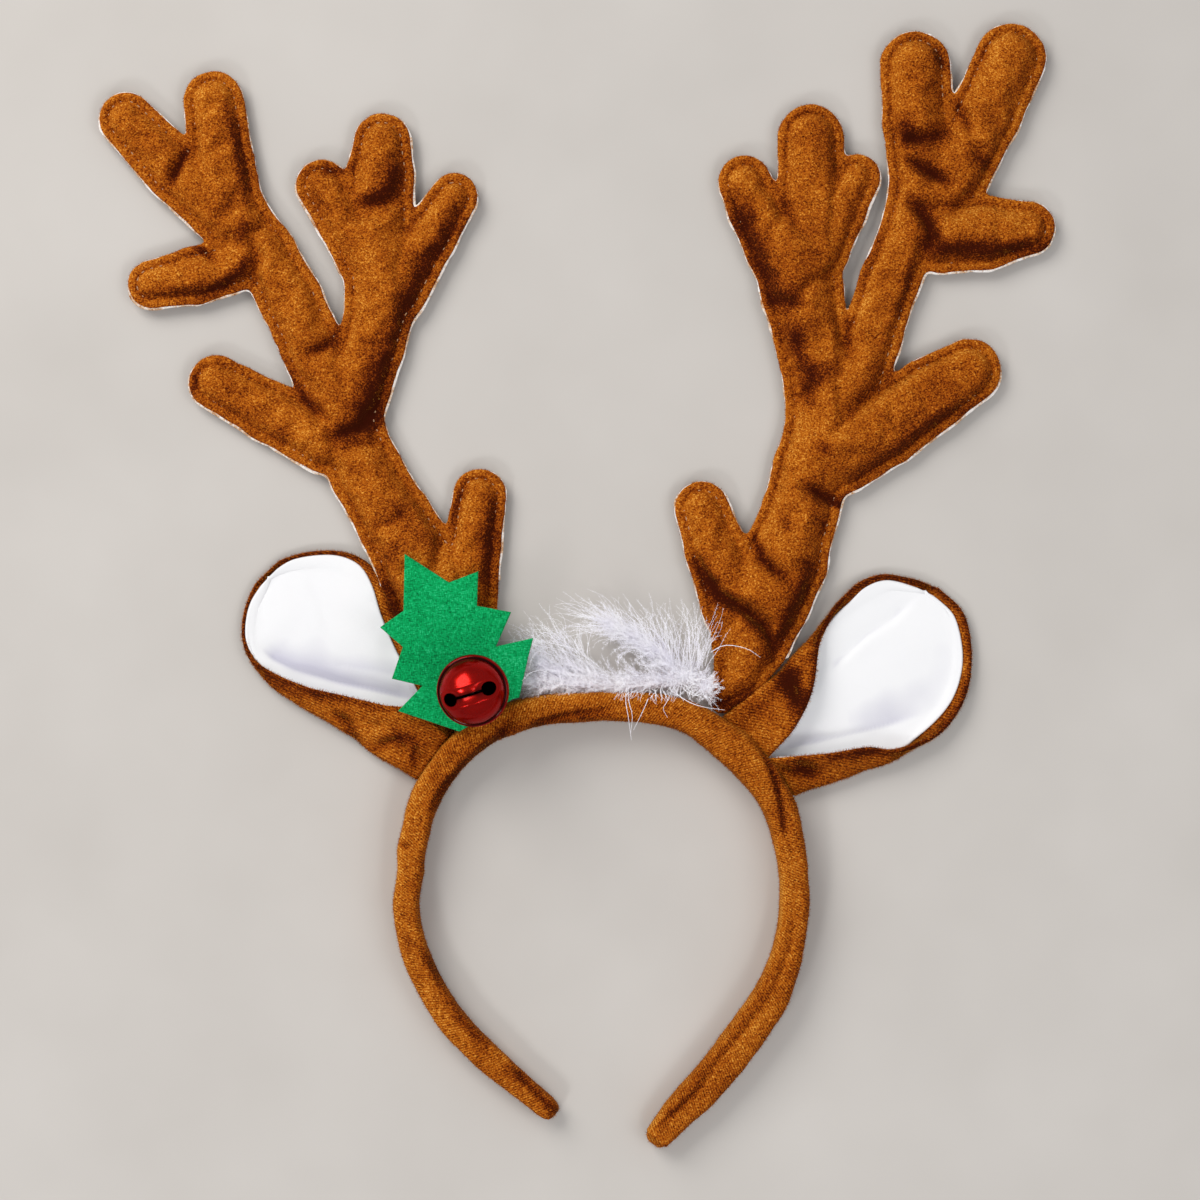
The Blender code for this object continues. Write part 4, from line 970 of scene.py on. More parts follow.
def antler_start(limbs, folds):
    """The cover of one antler before it is blown up: points, faces and which points are sewn."""
    flat, faces, depth = antler_pattern(limbs)
    count = len(flat)
    inside = np.clip((depth - STITCH_INSET) / 2.0, 0.0, 1.0)
    puff = puff_height(flat, limbs, STITCH_INSET)
    insets, halves = np.array(FLANGE_PROFILE).T
    flange = np.interp(depth, insets, halves)
    wave = noise_sum(flat, SEAM_WAVE) * np.clip(1.0 - depth / STITCH_INSET, 0.0, 1.0)
    crease = crease_depth(flat, folds)
    above = np.maximum(0.52 * puff - crease, 0.5) * inside
    below = 0.42 * puff * inside
    points = np.vstack([np.column_stack([flat, SEAM_PLANE + flange + wave + above]),
                        np.column_stack([flat, SEAM_PLANE - flange + wave - below])])
    sewn = depth < STITCH_INSET + 0.2
    tufted = sewn | ((crease > 1.9) & (crease > 0.62 * crease.max()))
    pinned = np.concatenate([tufted, sewn])
    return points, two_sided(faces, count), pinned, count


def finish_antler(name, node, limbs, folds, shade_and_nap_rows, points, faces, count, blown, material):
    """The finished velvet skin: settled on the table, smoothed, puckered along its seam."""
    points = points.copy()
    if blown is not None:
        points = np.where(np.abs(blown - points) < FURTHEST_PUFF, blown, points)
    crease = crease_depth(points[:count, :2], folds)
    points[:count, 2] -= 0.25 * crease * (points[:count, 2] > SEAM_PLANE + 1.5)
    under = points[:, 2] < SETTLED
    points[under, 2] = SETTLED * np.exp((points[under, 2] - SETTLED) / (2 * SETTLED))
    item = add_piece(name, points, faces, material, "velvet", node)
    smooth = item.modifiers.new("smooth", "SUBSURF")
    smooth.levels = smooth.render_levels = 1
    apply_modifiers(item)
    mesh = item.data
    mesh.shade_smooth()
    fine = mesh_points(mesh) / MM
    normals = mesh_normals(mesh)
    depth = -distance_field(fine[:, :2], limbs)
    top = normals[:, 2] > -0.2
    loops = [even_loop(loop, SEAM_STEP) for loop in trace_outline(limbs, -STITCH_INSET)]
    reach = np.concatenate([np.arange(len(loop)) * SEAM_STEP for loop in loops])
    phase = 2 * math.pi * reach[nearest_index(fine[:, :2], np.vstack(loops))] / STITCH_PITCH
    wander = 1.6 * soft_noise(fine[:, :2], 9.0, 21)
    inside = depth - STITCH_INSET
    pucker = np.where(inside > 0, np.exp(-inside / 2.6), np.exp(inside / 1.3))
    strength = 0.16 + 0.12 * soft_noise(fine[:, :2], 14.0, 22)
    shift = strength * pucker * np.cos(phase + wander * np.clip(inside / 3.0, 0, 1))
    shift += 0.22 * soft_noise(fine, 9.0, 23) * np.clip(inside / 3.0, 0, 1)
    shift += 0.10 * soft_noise(fine, 4.0, 24)
    shift[~top] *= 0.3
    fine += normals * shift[:, None]
    fine[:, 2] = np.maximum(fine[:, 2], 0.0)
    set_mesh_points(mesh, fine * MM)
    normals = mesh_normals(mesh)
    # Painted shade along the sunk stitch line and in the creases.
    seam = np.exp(-np.abs(inside) / 0.5) * (0.10 + 0.08 * soft_noise(fine[:, :2], 12.0, 25))
    seam += 0.05 * crease_depth(fine[:, :2], folds) * top
    set_shade(mesh, pile_tone_and_painted_shade(fine, normals, shade_and_nap_rows) + seam)
    return item


def nearest_index(points, targets):
    """Index of the nearest target to each point."""
    tree = KDTree(len(targets))
    for index, target in enumerate(targets):
        tree.insert((*target, 0.0) if len(target) == 2 else target, index)
    tree.balance()
    found = np.empty(len(points), int)
    for index, point in enumerate(points):
        found[index] = tree.find((*point, 0.0) if len(point) == 2 else point)[1]
    return found


# How much darker a listed row of painted shade or brushed pile is, the side that the painted light comes
# from, and how much that painted side shade counts.
ROW_SHADE_AND_NAP = 0.46
PAINTED_LIGHT_SIDE = (-0.55, 0.60, 0.0)
SIDE_SHADE_SHARE = -0.28


def pile_tone_and_painted_shade(points, normals, rows=()):
    """How dark the pile looks: slopes that face away from the upper left, where the key light stands, get
    painted shade, and so do the listed rows of painted shade in creases and shadowed places, some of them
    brushed pile; soft patches vary the pile's tone.
    """
    # Painted shade on slopes that face away from the key light's side.
    shade = SIDE_SHADE_SHARE * (normals @ np.array(PAINTED_LIGHT_SIDE))
    shade += noise_sum(points, NAP_PATCHES)
    for strength, half_width, *places in rows:
        gap, t = line_distance(points[:, :2], places)
        fade = np.clip(0.5 + 3.0 * np.minimum(t, 1.0 - t), 0.0, 1.0)
        ragged = gap * (1.0 + 0.30 * soft_noise(points, 2.6, 33))
        shade += ROW_SHADE_AND_NAP * strength * fade * swell(ragged, half_width)
    return shade


# Section of the pale edge: reach past the cut edge (below 0, inside it) and height.
EDGE_SECTION = ((-1.0, 0.26), (-0.1, 0.30), (0.75, 0.22), (1.0, 0.0), (0.75, -0.22), (-0.1, -0.30),
                (-1.0, -0.26))


# How far the pale ground reaches past the velvet, at least (hidden) and at most.
LEAST_BARE = -0.6
MOST_BARE = 0.58


def add_raw_edge(name, limbs, material, seed, hidden):
    """The pale ground that peeps out here and there along the cut edge, most along the lower edges."""
    points, faces = [], []
    base = 0
    for loop in [even_loop(loop, 0.9) for loop in trace_outline(limbs, -0.2)]:
        out = field_normal(loop, limbs)
        bare = 0.10 - 0.42 * out[:, 1] + 0.10 * out[:, 0]
        bare += noise_sum(loop, ((0.34, 13.0, seed), (0.26, 2.2, seed + 1)))
        for low, high in hidden:
            bare[((loop > low) & (loop < high)).all(axis=1)] = LEAST_BARE
        bare = np.clip(bare, LEAST_BARE, MOST_BARE)
        wave = SEAM_PLANE + noise_sum(loop, EDGE_WAVE)
        rows = []
        for reach, height in EDGE_SECTION:
            flat = loop + out * np.where(reach > 0, reach * bare, -0.7 + 0.6 * reach)[:, None]
            rows.append(np.column_stack([flat, wave + height]))
        points.append(np.stack(rows, axis=1).reshape(-1, 3))
        size, count = len(EDGE_SECTION), len(loop)
        for i in range(count):
            k = (i + 1) % count
            for j in range(size):
                m = (j + 1) % size
                here, there = base + i * size, base + k * size
                faces.append((here + j, there + j, there + m, here + m))
        base += size * count
    return add_piece(name, np.vstack(points), faces, material, "velvet")


# A stitch at its five points: height over its middle, and radius.
STITCH_ARCH = (-0.25, 0.16, 0.26, 0.16, -0.25)
STITCH_RADII = (0.10, 0.20, 0.22, 0.20, 0.10)


def add_stitches(name, limbs, material, seed, hidden):
    """Short stitches along the seam, above and below, sunk to different depths in the pile."""
    random = np.random.default_rng(seed)
    paths = []
    for loop in trace_outline(limbs, -STITCH_INSET):
        ring = even_loop(loop, STITCH_STEP)
        count = int(len(ring) * STITCH_STEP / STITCH_PITCH)
        for index in range(count):
            start = index * len(ring) / count + random.uniform(-0.8, 0.8)
            places = (start + np.linspace(0.6, random.uniform(3.4, 5.8), 5)) % len(ring)
            flat = ring[places.astype(int)]
            if any(((flat[2] > low) & (flat[2] < high)).all() for low, high in hidden):
                continue
            sunk = 0.42 - 0.34 * soft_noise(flat[:1], 15.0, seed)[0] + random.uniform(-0.12, 0.12)
            for side in (1, -1):
                height = SEAM_PLANE + side * (0.42 + np.array(STITCH_ARCH) - sunk)
                paths.append(np.column_stack([flat, height]))
    points, faces = tube_set(np.array(paths), STITCH_RADII, 5)
    return add_piece(name, points, faces, material, "velvet")


# Covered hoop.
# Rings between two sections, points round a ring, rings left out at a tip for its rounding.
BAND_STEPS = 26
BAND_ROUND = 60
TIP_SKIP = 5
# Rough size of a section, so that its points are evenly spaced.
SECTION_SIZE = np.array((5.0, 14.0))
# Spacing of the fine ribs and of the small pulls along the grooves.
RIB_PITCH = 0.95
PULL_PITCH = 3.0
# Noises as rows of strength, bump size and seed: wrinkles across the sleeve, and its lumps.
BAND_WRINKLES = ((0.14, 1.3, 41),)
BAND_LUMPS = ((0.30, 9.0, 42), (0.14, 3.5, 43))
# Bunched places of the sleeve: x, y, reach, rise.
BAND_KNOTS = ((-22.0, -47.6, 4.5, 0.8), (58.0, -50.0, 6.0, 0.5), (66.0, -62.0, 4.0, 0.4))


def band_line():
    """Middle line, thickness and height of the hoop, rounded at both tips."""
    rows = through_points(BAND_SECTIONS, BAND_STEPS)
    for end, step in ((0, 1), (-1, -1)):
        run = rows[end + step, :2] - rows[end, :2]
        run /= np.linalg.norm(run)
        tips = []
        for along, share in TIP_ROUNDING:
            row = rows[end].copy()
            row[:2] += run * along
            row[2:4] *= share
            tips.append(row)
        parts = [tips, rows[TIP_SKIP:]] if end == 0 else [rows[:-TIP_SKIP], tips[::-1]]
        rows = np.vstack(parts)
    return rows


def build_band(material):
    """The velvet sleeve over the hoop, with its grooves, knots and fine wrinkles."""
    rows = band_line()
    runs = unit(np.gradient(rows[:, :2], axis=0))
    profile = through_points(np.array(BAND_PROFILE + BAND_PROFILE[:3]) * SECTION_SIZE, 6)[6:-11]
    profile = even_points(np.vstack([profile, profile[:1]]), BAND_ROUND + 1)[:-1] / SECTION_SIZE
    across, height = profile.T
    reach = line_reach(rows[:, :2])
    grid = np.empty((len(rows), BAND_ROUND, 3))
    side = across[None] * rows[:, 2:3] / 2
    grid[..., 0] = rows[:, 0:1] + runs[:, 1:2] * side
    grid[..., 1] = rows[:, 1:2] - runs[:, 0:1] * side
    grid[..., 2] = height[None] * rows[:, 3:4]
    upper = np.clip((height - 0.72) / 0.2, 0.0, 1.0)[None]
    groove = crease_depth(grid[..., :2].reshape(-1, 2), BAND_GROOVES).reshape(side.shape)
    flat = grid.reshape(-1, 3)
    pull = 0.5 + 0.5 * np.cos(2 * math.pi * reach / PULL_PITCH)[:, None]
    groove = ((0.75 + 0.25 * pull) * groove * upper).ravel()
    item = add_piece("band_sleeve", flat, tube_faces(1, len(rows), BAND_ROUND), material, "velvet", "band")
    normals = mesh_normals(item.data)
    if (normals[:, 2] * (flat[:, 2] - 7.0)).sum() < 0:
        item.data.flip_normals()
        normals = -normals
    ribs = np.column_stack([np.repeat(reach, BAND_ROUND) / PULL_PITCH, side.ravel(), flat[:, 2]])
    shift = noise_sum(ribs, BAND_WRINKLES) + noise_sum(flat, BAND_LUMPS)
    shift *= np.clip(flat[:, 2] / 2.0, 0.0, 1.0)
    for x, y, reach_of_knot, rise in BAND_KNOTS:
        knot = swell(np.hypot(flat[:, 0] - x, flat[:, 1] - y), reach_of_knot)
        shift += rise * knot + 0.5 * rise * knot * soft_noise(ribs * (3.0, 1.0, 1.0), 2.6, 44)
    flat = flat + normals * (shift - groove)[:, None]
    flat[:, 2] = np.maximum(flat[:, 2], 0.0)
    set_mesh_points(item.data, flat * MM)
    # Painted shade in the grooves, on top of the sleeve's painted shade and pile tone.
    set_shade(item.data, pile_tone_and_painted_shade(flat, mesh_normals(item.data), BAND_SHADE_AND_NAP) + 0.07 * groove)
    slant = np.repeat(reach, BAND_ROUND) + 0.55 * side.ravel() + 0.25 * soft_noise(flat, 6.0, 45)
    set_shade(item.data, slant / RIB_PITCH, "rib")
    return item


# Ears.
# Rows between two sections, points across, rows drawn together at the tips of shell and lining.
EAR_LONG = 9
EAR_ACROSS = 84
SHELL_TIP = 4
LINING_TIP = 5
# Points near a long edge that tell how wide one step across is.
RIM_SPAN = 8
# Pleats gathered in at the foot: their number, depth, and how far up they reach.
PLEATS = 6.5
PLEAT_DEPTH = 0.50
PLEAT_REACH = 0.42
# Noises as rows of strength, bump size and seed.
EAR_LUMPS = ((0.30, 7.0, 51),)
LINING_LUMPS = ((0.22, 14.0, 61), (0.07, 5.0, 62))


def ear_surface(rows):
    """Grid on the outer velvet face of an ear, long way by across, and the bare rim widths."""
    sections = []
    for row in rows:
        bend_a, rim_a = np.array((*row[0:2], CURL_SHARE * row[4])), np.array(row[2:5])
        rim_b, bend_b = np.array(row[5:8]), np.array((*row[8:10], CURL_SHARE * row[7]))
        keel_a = bend_a + KEEL_SHARE * (bend_b - bend_a)
        keel_b = bend_b + KEEL_SHARE * (bend_a - bend_b)
        keel_a[2] = keel_b[2] = 0.0
        sections.append([*rim_a, *bend_a, *keel_a, *keel_b, *bend_b, *rim_b, *row[10:]])
    grid, bare = [], []
    for section in through_points(sections, EAR_LONG):
        fine = through_points(section[:-2].reshape(-1, 3), 10)
        fine[:, 2] = np.maximum(fine[:, 2], 0.0)
        grid.append(even_points(fine, EAR_ACROSS))
        bare.append(section[-2:])
    return np.array(grid), np.array(bare)


def grid_normals(grid):
    """Unit normals of a grid of points, pointing to the open side of the ear."""
    normals = unit(np.cross(np.gradient(grid, axis=1), np.gradient(grid, axis=0)))
    return -normals if normals[..., 2].mean() < 0 else normals


def smooth_grid(values, times):
    """Average a grid with its neighbours."""
    for _ in range(times):
        wide = np.pad(values, ((1, 1), (1, 1), (0, 0)), mode="edge")
        near = wide[:-2, 1:-1] + wide[2:, 1:-1] + wide[1:-1, :-2] + wide[1:-1, 2:]
        values = (near + 4 * values) / 8
    return values


def layer_body(low, high, round_edge):
    """Points and faces of a layer of cloth between two grids, with a rounded edge all round."""
    longs, wide = low.shape[:2]
    count = longs * wide
    middle = (low + high) / 2
    along = [(0, j) for j in range(wide)] + [(i, wide - 1) for i in range(1, longs)]
    along += [(longs - 1, j) for j in range(wide - 2, -1, -1)] + [(i, 0) for i in range(longs - 2, 0, -1)]
    rim = np.array([i * wide + j for i, j in along])
    inner = np.array([min(max(i, 1), longs - 2) * wide + min(max(j, 1), wide - 2) for i, j in along])
    flat_middle = middle.reshape(-1, 3)
    edge = flat_middle[rim] + round_edge * unit(flat_middle[rim] - flat_middle[inner])
    points = np.vstack([low.reshape(-1, 3), high.reshape(-1, 3), edge])
    a = (np.arange(longs - 1)[:, None] * wide + np.arange(wide - 1)[None]).ravel()
    quads = np.column_stack([a, a + 1, a + 1 + wide, a + wide])
    faces = [tuple(q) for q in quads] + [tuple(q[::-1] + count) for q in quads]
    size = len(rim)
    for i in range(size):
        k = (i + 1) % size
        faces.append((rim[k], rim[i], 2 * count + i, 2 * count + k))
        faces.append((2 * count + k, 2 * count + i, rim[i] + count, rim[k] + count))
    return points, faces


def close_tip(grid, rows, least):
    """Draw the last rows of a grid together towards the middle between their ends."""
    grid = grid.copy()
    for k in range(rows):
        t = (k + 1) / rows
        share = max(math.sqrt(1.0 - t * t), least)
        row = grid[-rows + k]
        middle = (row[0] + row[-1]) / 2
        grid[-rows + k] = middle + share * (row - middle)
    return grid


# Width of the steep side of a fold in a lining.
STEEP_SIDE = 1.1


def lining_shape(points, folds):
    """Height and shade of the soft folds of a lining: each is a step with a slow slope on one side."""
    height, shade = np.zeros(len(points)), np.zeros(len(points))
    for deep, soft, *places in folds:
        gap, t = line_distance(points, places)
        line = np.array(places)
        index = np.minimum((t * (len(line) - 1)).astype(int), len(line) - 2)
        run, off = line[index + 1] - line[index], points - line[index]
        over = (run[:, 0] * off[:, 1] - run[:, 1] * off[:, 0]) * np.sign(deep)
        ends = np.clip(5.0 * np.minimum(t, 1.0 - t) + 0.05, 0.0, 1.0)
        fall = np.where(over > 0, np.exp(-gap / soft), swell(gap, STEEP_SIDE))
        height -= abs(deep) * ends * fall
        shade += 0.30 * abs(deep) * ends * fall
    return height, shade


def narrowed(grid, normals, bare):
    """The grid and its normals drawn in from both long edges by the widths that stay bare."""
    longs, wide = grid.shape[:2]
    cut, turned = grid.copy(), normals.copy()
    half = wide // 2
    for edge, direction, width in ((0, 1, bare[:, 0]), (wide - 1, -1, bare[:, 1])):
        span = np.linalg.norm(grid[:, edge + direction * RIM_SPAN] - grid[:, edge], axis=1)
        step = RIM_SPAN * width / np.maximum(span, 1e-6)
        for i in range(longs):
            if direction == 1:
                places = np.linspace(min(step[i], half - 2), half, half + 1)
                target = np.arange(0, half + 1)
            else:
                places = np.linspace(half, max(wide - 1 - step[i], half + 2), wide - half)
                target = np.arange(half, wide)
            for source, made in ((grid, cut), (normals, turned)):
                for k in range(3):
                    made[i, target, k] = np.interp(places, np.arange(wide), source[i, :, k])
    return cut, turned


def build_ear(side, rows, creases, shade_and_nap_rows, lining_folds, velvet_paint, satin_paint):
    """One ear: a curled velvet shell and its puffed satin lining."""
    grid, bare = ear_surface(rows)
    grid = close_tip(grid, SHELL_TIP, 0.12)
    normals = unit(smooth_grid(grid_normals(grid), 2))
    longs, wide = grid.shape[:2]
    length = np.linspace(0, 1, longs)[:, None]
    around = np.linspace(0, 1, wide)[None]
    wander = 1.7 * np.sin(9 * length + (2.0 if side == "left" else 4.0))
    pleat = np.sin(2 * math.pi * around * PLEATS + wander) * np.clip(grid[..., 2] / 2.0, 0, 1)
    gather = PLEAT_DEPTH * np.clip(1 - length / PLEAT_REACH, 0, 1) ** 1.2 * pleat
    lumps = noise_sum(grid.reshape(-1, 3), EAR_LUMPS).reshape(longs, wide)
    lumps *= np.clip(grid[..., 2] / 1.5, 0, 1)
    crease = crease_depth(grid[..., :2].reshape(-1, 2), creases).reshape(longs, wide)
    crease *= (grid[..., 2] > 3.0) * (np.abs(around - 0.5) > 0.12)
    grid = grid + normals * crease[..., None]
    shell = grid - normals * (gather + lumps)[..., None]
    hem = np.exp(-np.minimum(around, 1 - around) * wide / 3.0)
    low = shell.copy()
    low[..., 2] = np.maximum(low[..., 2], 0.0)
    high = shell + normals * (EAR_VELVET + 0.35 * hem)[..., None]
    points, faces = layer_body(low, high, 0.5)
    points[:, 2] = np.maximum(points[:, 2], 0.0)
    ear = add_piece("ear_%s_shell" % side, points, faces, velvet_paint, "velvet", "ear_" + side)
    fix_outward(ear)
    skin = mesh_points(ear.data) / MM
    raised = np.column_stack([skin[:, :2], np.zeros(len(skin))])
    # Painted shade along the rims of the shell, where it meets the lining.
    hems = [row[2:4] for row in rows[1:]] + [row[5:7] for row in rows[:0:-1]]
    shade_and_nap_rows = shade_and_nap_rows + ((EAR_HEM_SHADE, EAR_HEM_WIDTH, *hems),)
    set_shade(ear.data, pile_tone_and_painted_shade(skin, mesh_normals(ear.data), shade_and_nap_rows))
    across = (0.4, 0.92) if side == "left" else (0.2, 0.98)
    waves = skin[:, :2] @ np.array(across) + 0.3 * soft_noise(raised, 7.0, 55)
    set_shade(ear.data, waves / RIB_PITCH, "rib")

    cut, turned = narrowed(grid, normals, bare)
    last = (len(rows) - 2) * EAR_LONG + 1
    cut, turned = close_tip(cut[1:last], LINING_TIP, 0.10), turned[1:last]
    longs = len(cut)
    flat = cut.reshape(-1, 3)
    shape, _ = lining_shape(flat[:, :2], lining_folds)
    shape = (shape + noise_sum(flat, LINING_LUMPS)).reshape(longs, wide)
    border = np.minimum(np.minimum(np.arange(wide), wide - 1 - np.arange(wide))[None] * 1.0,
                        (longs - 1 - np.arange(longs))[:, None] * 1.3)
    shape *= np.clip(border / 5.0, 0.15, 1.0)
    puffed = smooth_grid((0.45 * (1 - np.exp(-border / 3.0)) + shape)[..., None], 8)[..., 0]
    low = cut + turned * (EAR_VELVET + EAR_LAYER_GAP - 0.2)
    high = cut + turned * (EAR_VELVET + EAR_LAYER_GAP + EAR_SATIN * 0.45 + puffed)[..., None]
    points, faces = layer_body(low, high, 0.35)
    points[:, 2] = np.maximum(points[:, 2], 0.3)
    lining = add_piece("ear_%s_satin" % side, points, faces, satin_paint, "satin",
                       "ear_%s_lining" % side)
    fix_outward(lining)
    # Painted shade in the folds of the lining.
    _, shade = lining_shape(mesh_points(lining.data)[:, :2] / MM, lining_folds)
    set_shade(lining.data, shade)
    return ear, lining


def fix_outward(item):
    """Point the faces of a closed body out of it."""
    shape = bmesh.new()
    shape.from_mesh(item.data)
    bmesh.ops.recalc_face_normals(shape, faces=shape.faces)
    shape.to_mesh(item.data)
    shape.free()
    item.data.shade_smooth()
    item.data.update()


def mesh_area(item):
    """Area of an object's faces in square metres."""
    areas = np.empty(len(item.data.polygons))
    item.data.polygons.foreach_get("area", areas)
    return float(areas.sum())


# Felt leaf.
# Spacing of the points inside and along the edge, and width of the rounded edge.
LEAF_PITCH = 1.25
LEAF_EDGE_STEP = 0.9
LEAF_RIM = 0.35
# Noises as rows of strength, bump size and seed.
LEAF_CURL = ((0.35, 18.0, 71), (0.10, 5.0, 72))
LEAF_FUZZ = ((0.07, 1.4, 73),)


def build_leaf(material):
    """The felt leaf: one cut sheet, gently curled, with a soft cut edge."""
    corners = np.array(LEAF_CORNERS)[::-1]
    edge = []
    for start, end in zip(corners, np.roll(corners, -1, axis=0)):
        steps = max(int(np.linalg.norm(end - start) / LEAF_EDGE_STEP), 1)
        edge += [start + (end - start) * t for t in np.arange(steps) / steps]
    edge = np.array(edge)
    inner = offset_loop(edge, LEAF_RIM)
    grid = hex_grid(edge.min(axis=0), edge.max(axis=0), LEAF_PITCH)
    grid = grid[[inside_loop(point, edge) for point in grid]]
    flat, faces = triangulate([edge, inner], grid[nearest_gap(grid, edge) > 1.2])
    border = nearest_gap(flat, edge)
    base = LEAF_LOW_Z + LEAF_SLOPE * (LEAF_TOP_Y - flat[:, 1])
    curl = noise_sum(flat, LEAF_CURL)
    thin = np.where(border < 0.1, LEAF_RIM, 0.0)
    upper = base + LEAF_THICKNESS + curl + noise_sum(flat, LEAF_FUZZ) - thin
    lower = base + 0.05 + curl * 0.8 + thin
    points = np.vstack([np.column_stack([flat, upper]), np.column_stack([flat, lower])])
    return add_piece("holly_leaf_felt", points, two_sided(faces, len(flat)), material, "felt",
                     "holly_leaf", sharp=50)


def nearest_gap(points, targets):
    """Distance from each point to the nearest target."""
    return np.min(np.linalg.norm(points[:, None] - targets[None], axis=2), axis=1)


def inside_loop(point, loop):
    """True if a point lies inside a closed loop."""
    x, y = point
    x1, y1 = loop[:, 0], loop[:, 1]
    x2, y2 = np.roll(x1, -1), np.roll(y1, -1)
    crossing = (y1 > y) != (y2 > y)
    with np.errstate(divide="ignore", invalid="ignore"):
        at = x1 + (y - y1) / (y2 - y1) * (x2 - x1)
    return bool((crossing & (x < at)).sum() % 2)


def offset_loop(loop, distance):
    """The loop moved inwards by a distance."""
    before, after = np.roll(loop, 1, axis=0), np.roll(loop, -1, axis=0)
    run = unit(after - before)
    inward = np.column_stack([-run[:, 1], run[:, 0]])
    if not inside_loop(loop[3] + inward[3] * 0.2, loop):
        inward = -inward
    return loop + inward * distance


# Jingle bell.
def bell_place():
    """Where the middle of the bell lies: over the leaf, on its shank."""
    x, y = BELL_CENTRE
    leaf_top = LEAF_LOW_Z + LEAF_SLOPE * (LEAF_TOP_Y - y) + LEAF_THICKNESS
    return np.array((x, y, leaf_top + CLEARANCE + SHANK_LENGTH + BELL_RADIUS)) + BELL_SHIFT


def lathe(profile, sides):
    """Spin an open profile that starts and ends on the axis into a closed skin."""
    points, faces, rings = [], [], []
    angles = 2 * math.pi * np.arange(sides) / sides
    for radius, height in profile:
        if radius < 1e-6:
            rings.append([len(points)] * sides)
            points.append((0.0, 0.0, height))
        else:
            rings.append([len(points) + i for i in range(sides)])
            points += [(radius * math.cos(a), radius * math.sin(a), height) for a in angles]
    for low, high in zip(rings[:-1], rings[1:]):
        for i in range(sides):
            k = (i + 1) % sides
            faces.append(tuple(dict.fromkeys((low[i], low[k], high[k], high[i]))))
    return np.array(points), faces


def dome(radius_across, radius_up, base, top_angle, steps):
    """Radius and height along an oval, from its widest place up."""
    angles = np.linspace(0.0, top_angle, steps)
    return [(radius_across * math.cos(a), base + radius_up * math.sin(a)) for a in angles]


def bell_profiles():
    """Radius and height along the outer skin from the shank up, and along the inner one from the top."""
    rise = BELL_RADIUS - BELL_RING_TOP
    end = -BELL_RADIUS - SHANK_LENGTH
    cup = dome(BELL_RADIUS, BELL_RADIUS, 0.0, math.acos(SHANK_RADIUS / BELL_RADIUS), 26)[::-1]
    outer = [(0.0, end), (SHANK_RADIUS - 0.3, end), (SHANK_RADIUS, end + 0.3)]
    outer += [(radius, -height) for radius, height in cup]
    outer += [(BELL_RADIUS + more, height) for more, height in BELL_RING]
    outer += dome(BELL_UPPER_RADIUS, rise, BELL_RING_TOP, math.pi / 2, 40)[:-1] + [(0.0, BELL_RADIUS)]
    inner = [(0.0, BELL_REACH)]
    inner += dome(BELL_UPPER_RADIUS - BELL_WALL, rise - BELL_WALL, BELL_RING_TOP, math.pi / 2, 16)[-2::-1]
    cup = dome(BELL_REACH, BELL_REACH, 0.0, math.pi / 2, 20)[:-1]
    return outer, inner + [(radius, -height) for radius, height in cup] + [(0.0, -BELL_REACH)]


def slot_gap(points):
    """Distance from points to the middle line of the slot, seen along the bell's axis."""
    return span_distance(points[:, :2], -HOLE_OFFSET, 0.0, HOLE_OFFSET, 0.0)[0]


def press(points, depth):
    """Move points of the bell's upper half towards its middle."""
    up = np.clip(points[:, 2] / 4.0, 0, 1)
    return points - unit(points) * (depth * up)[:, None]


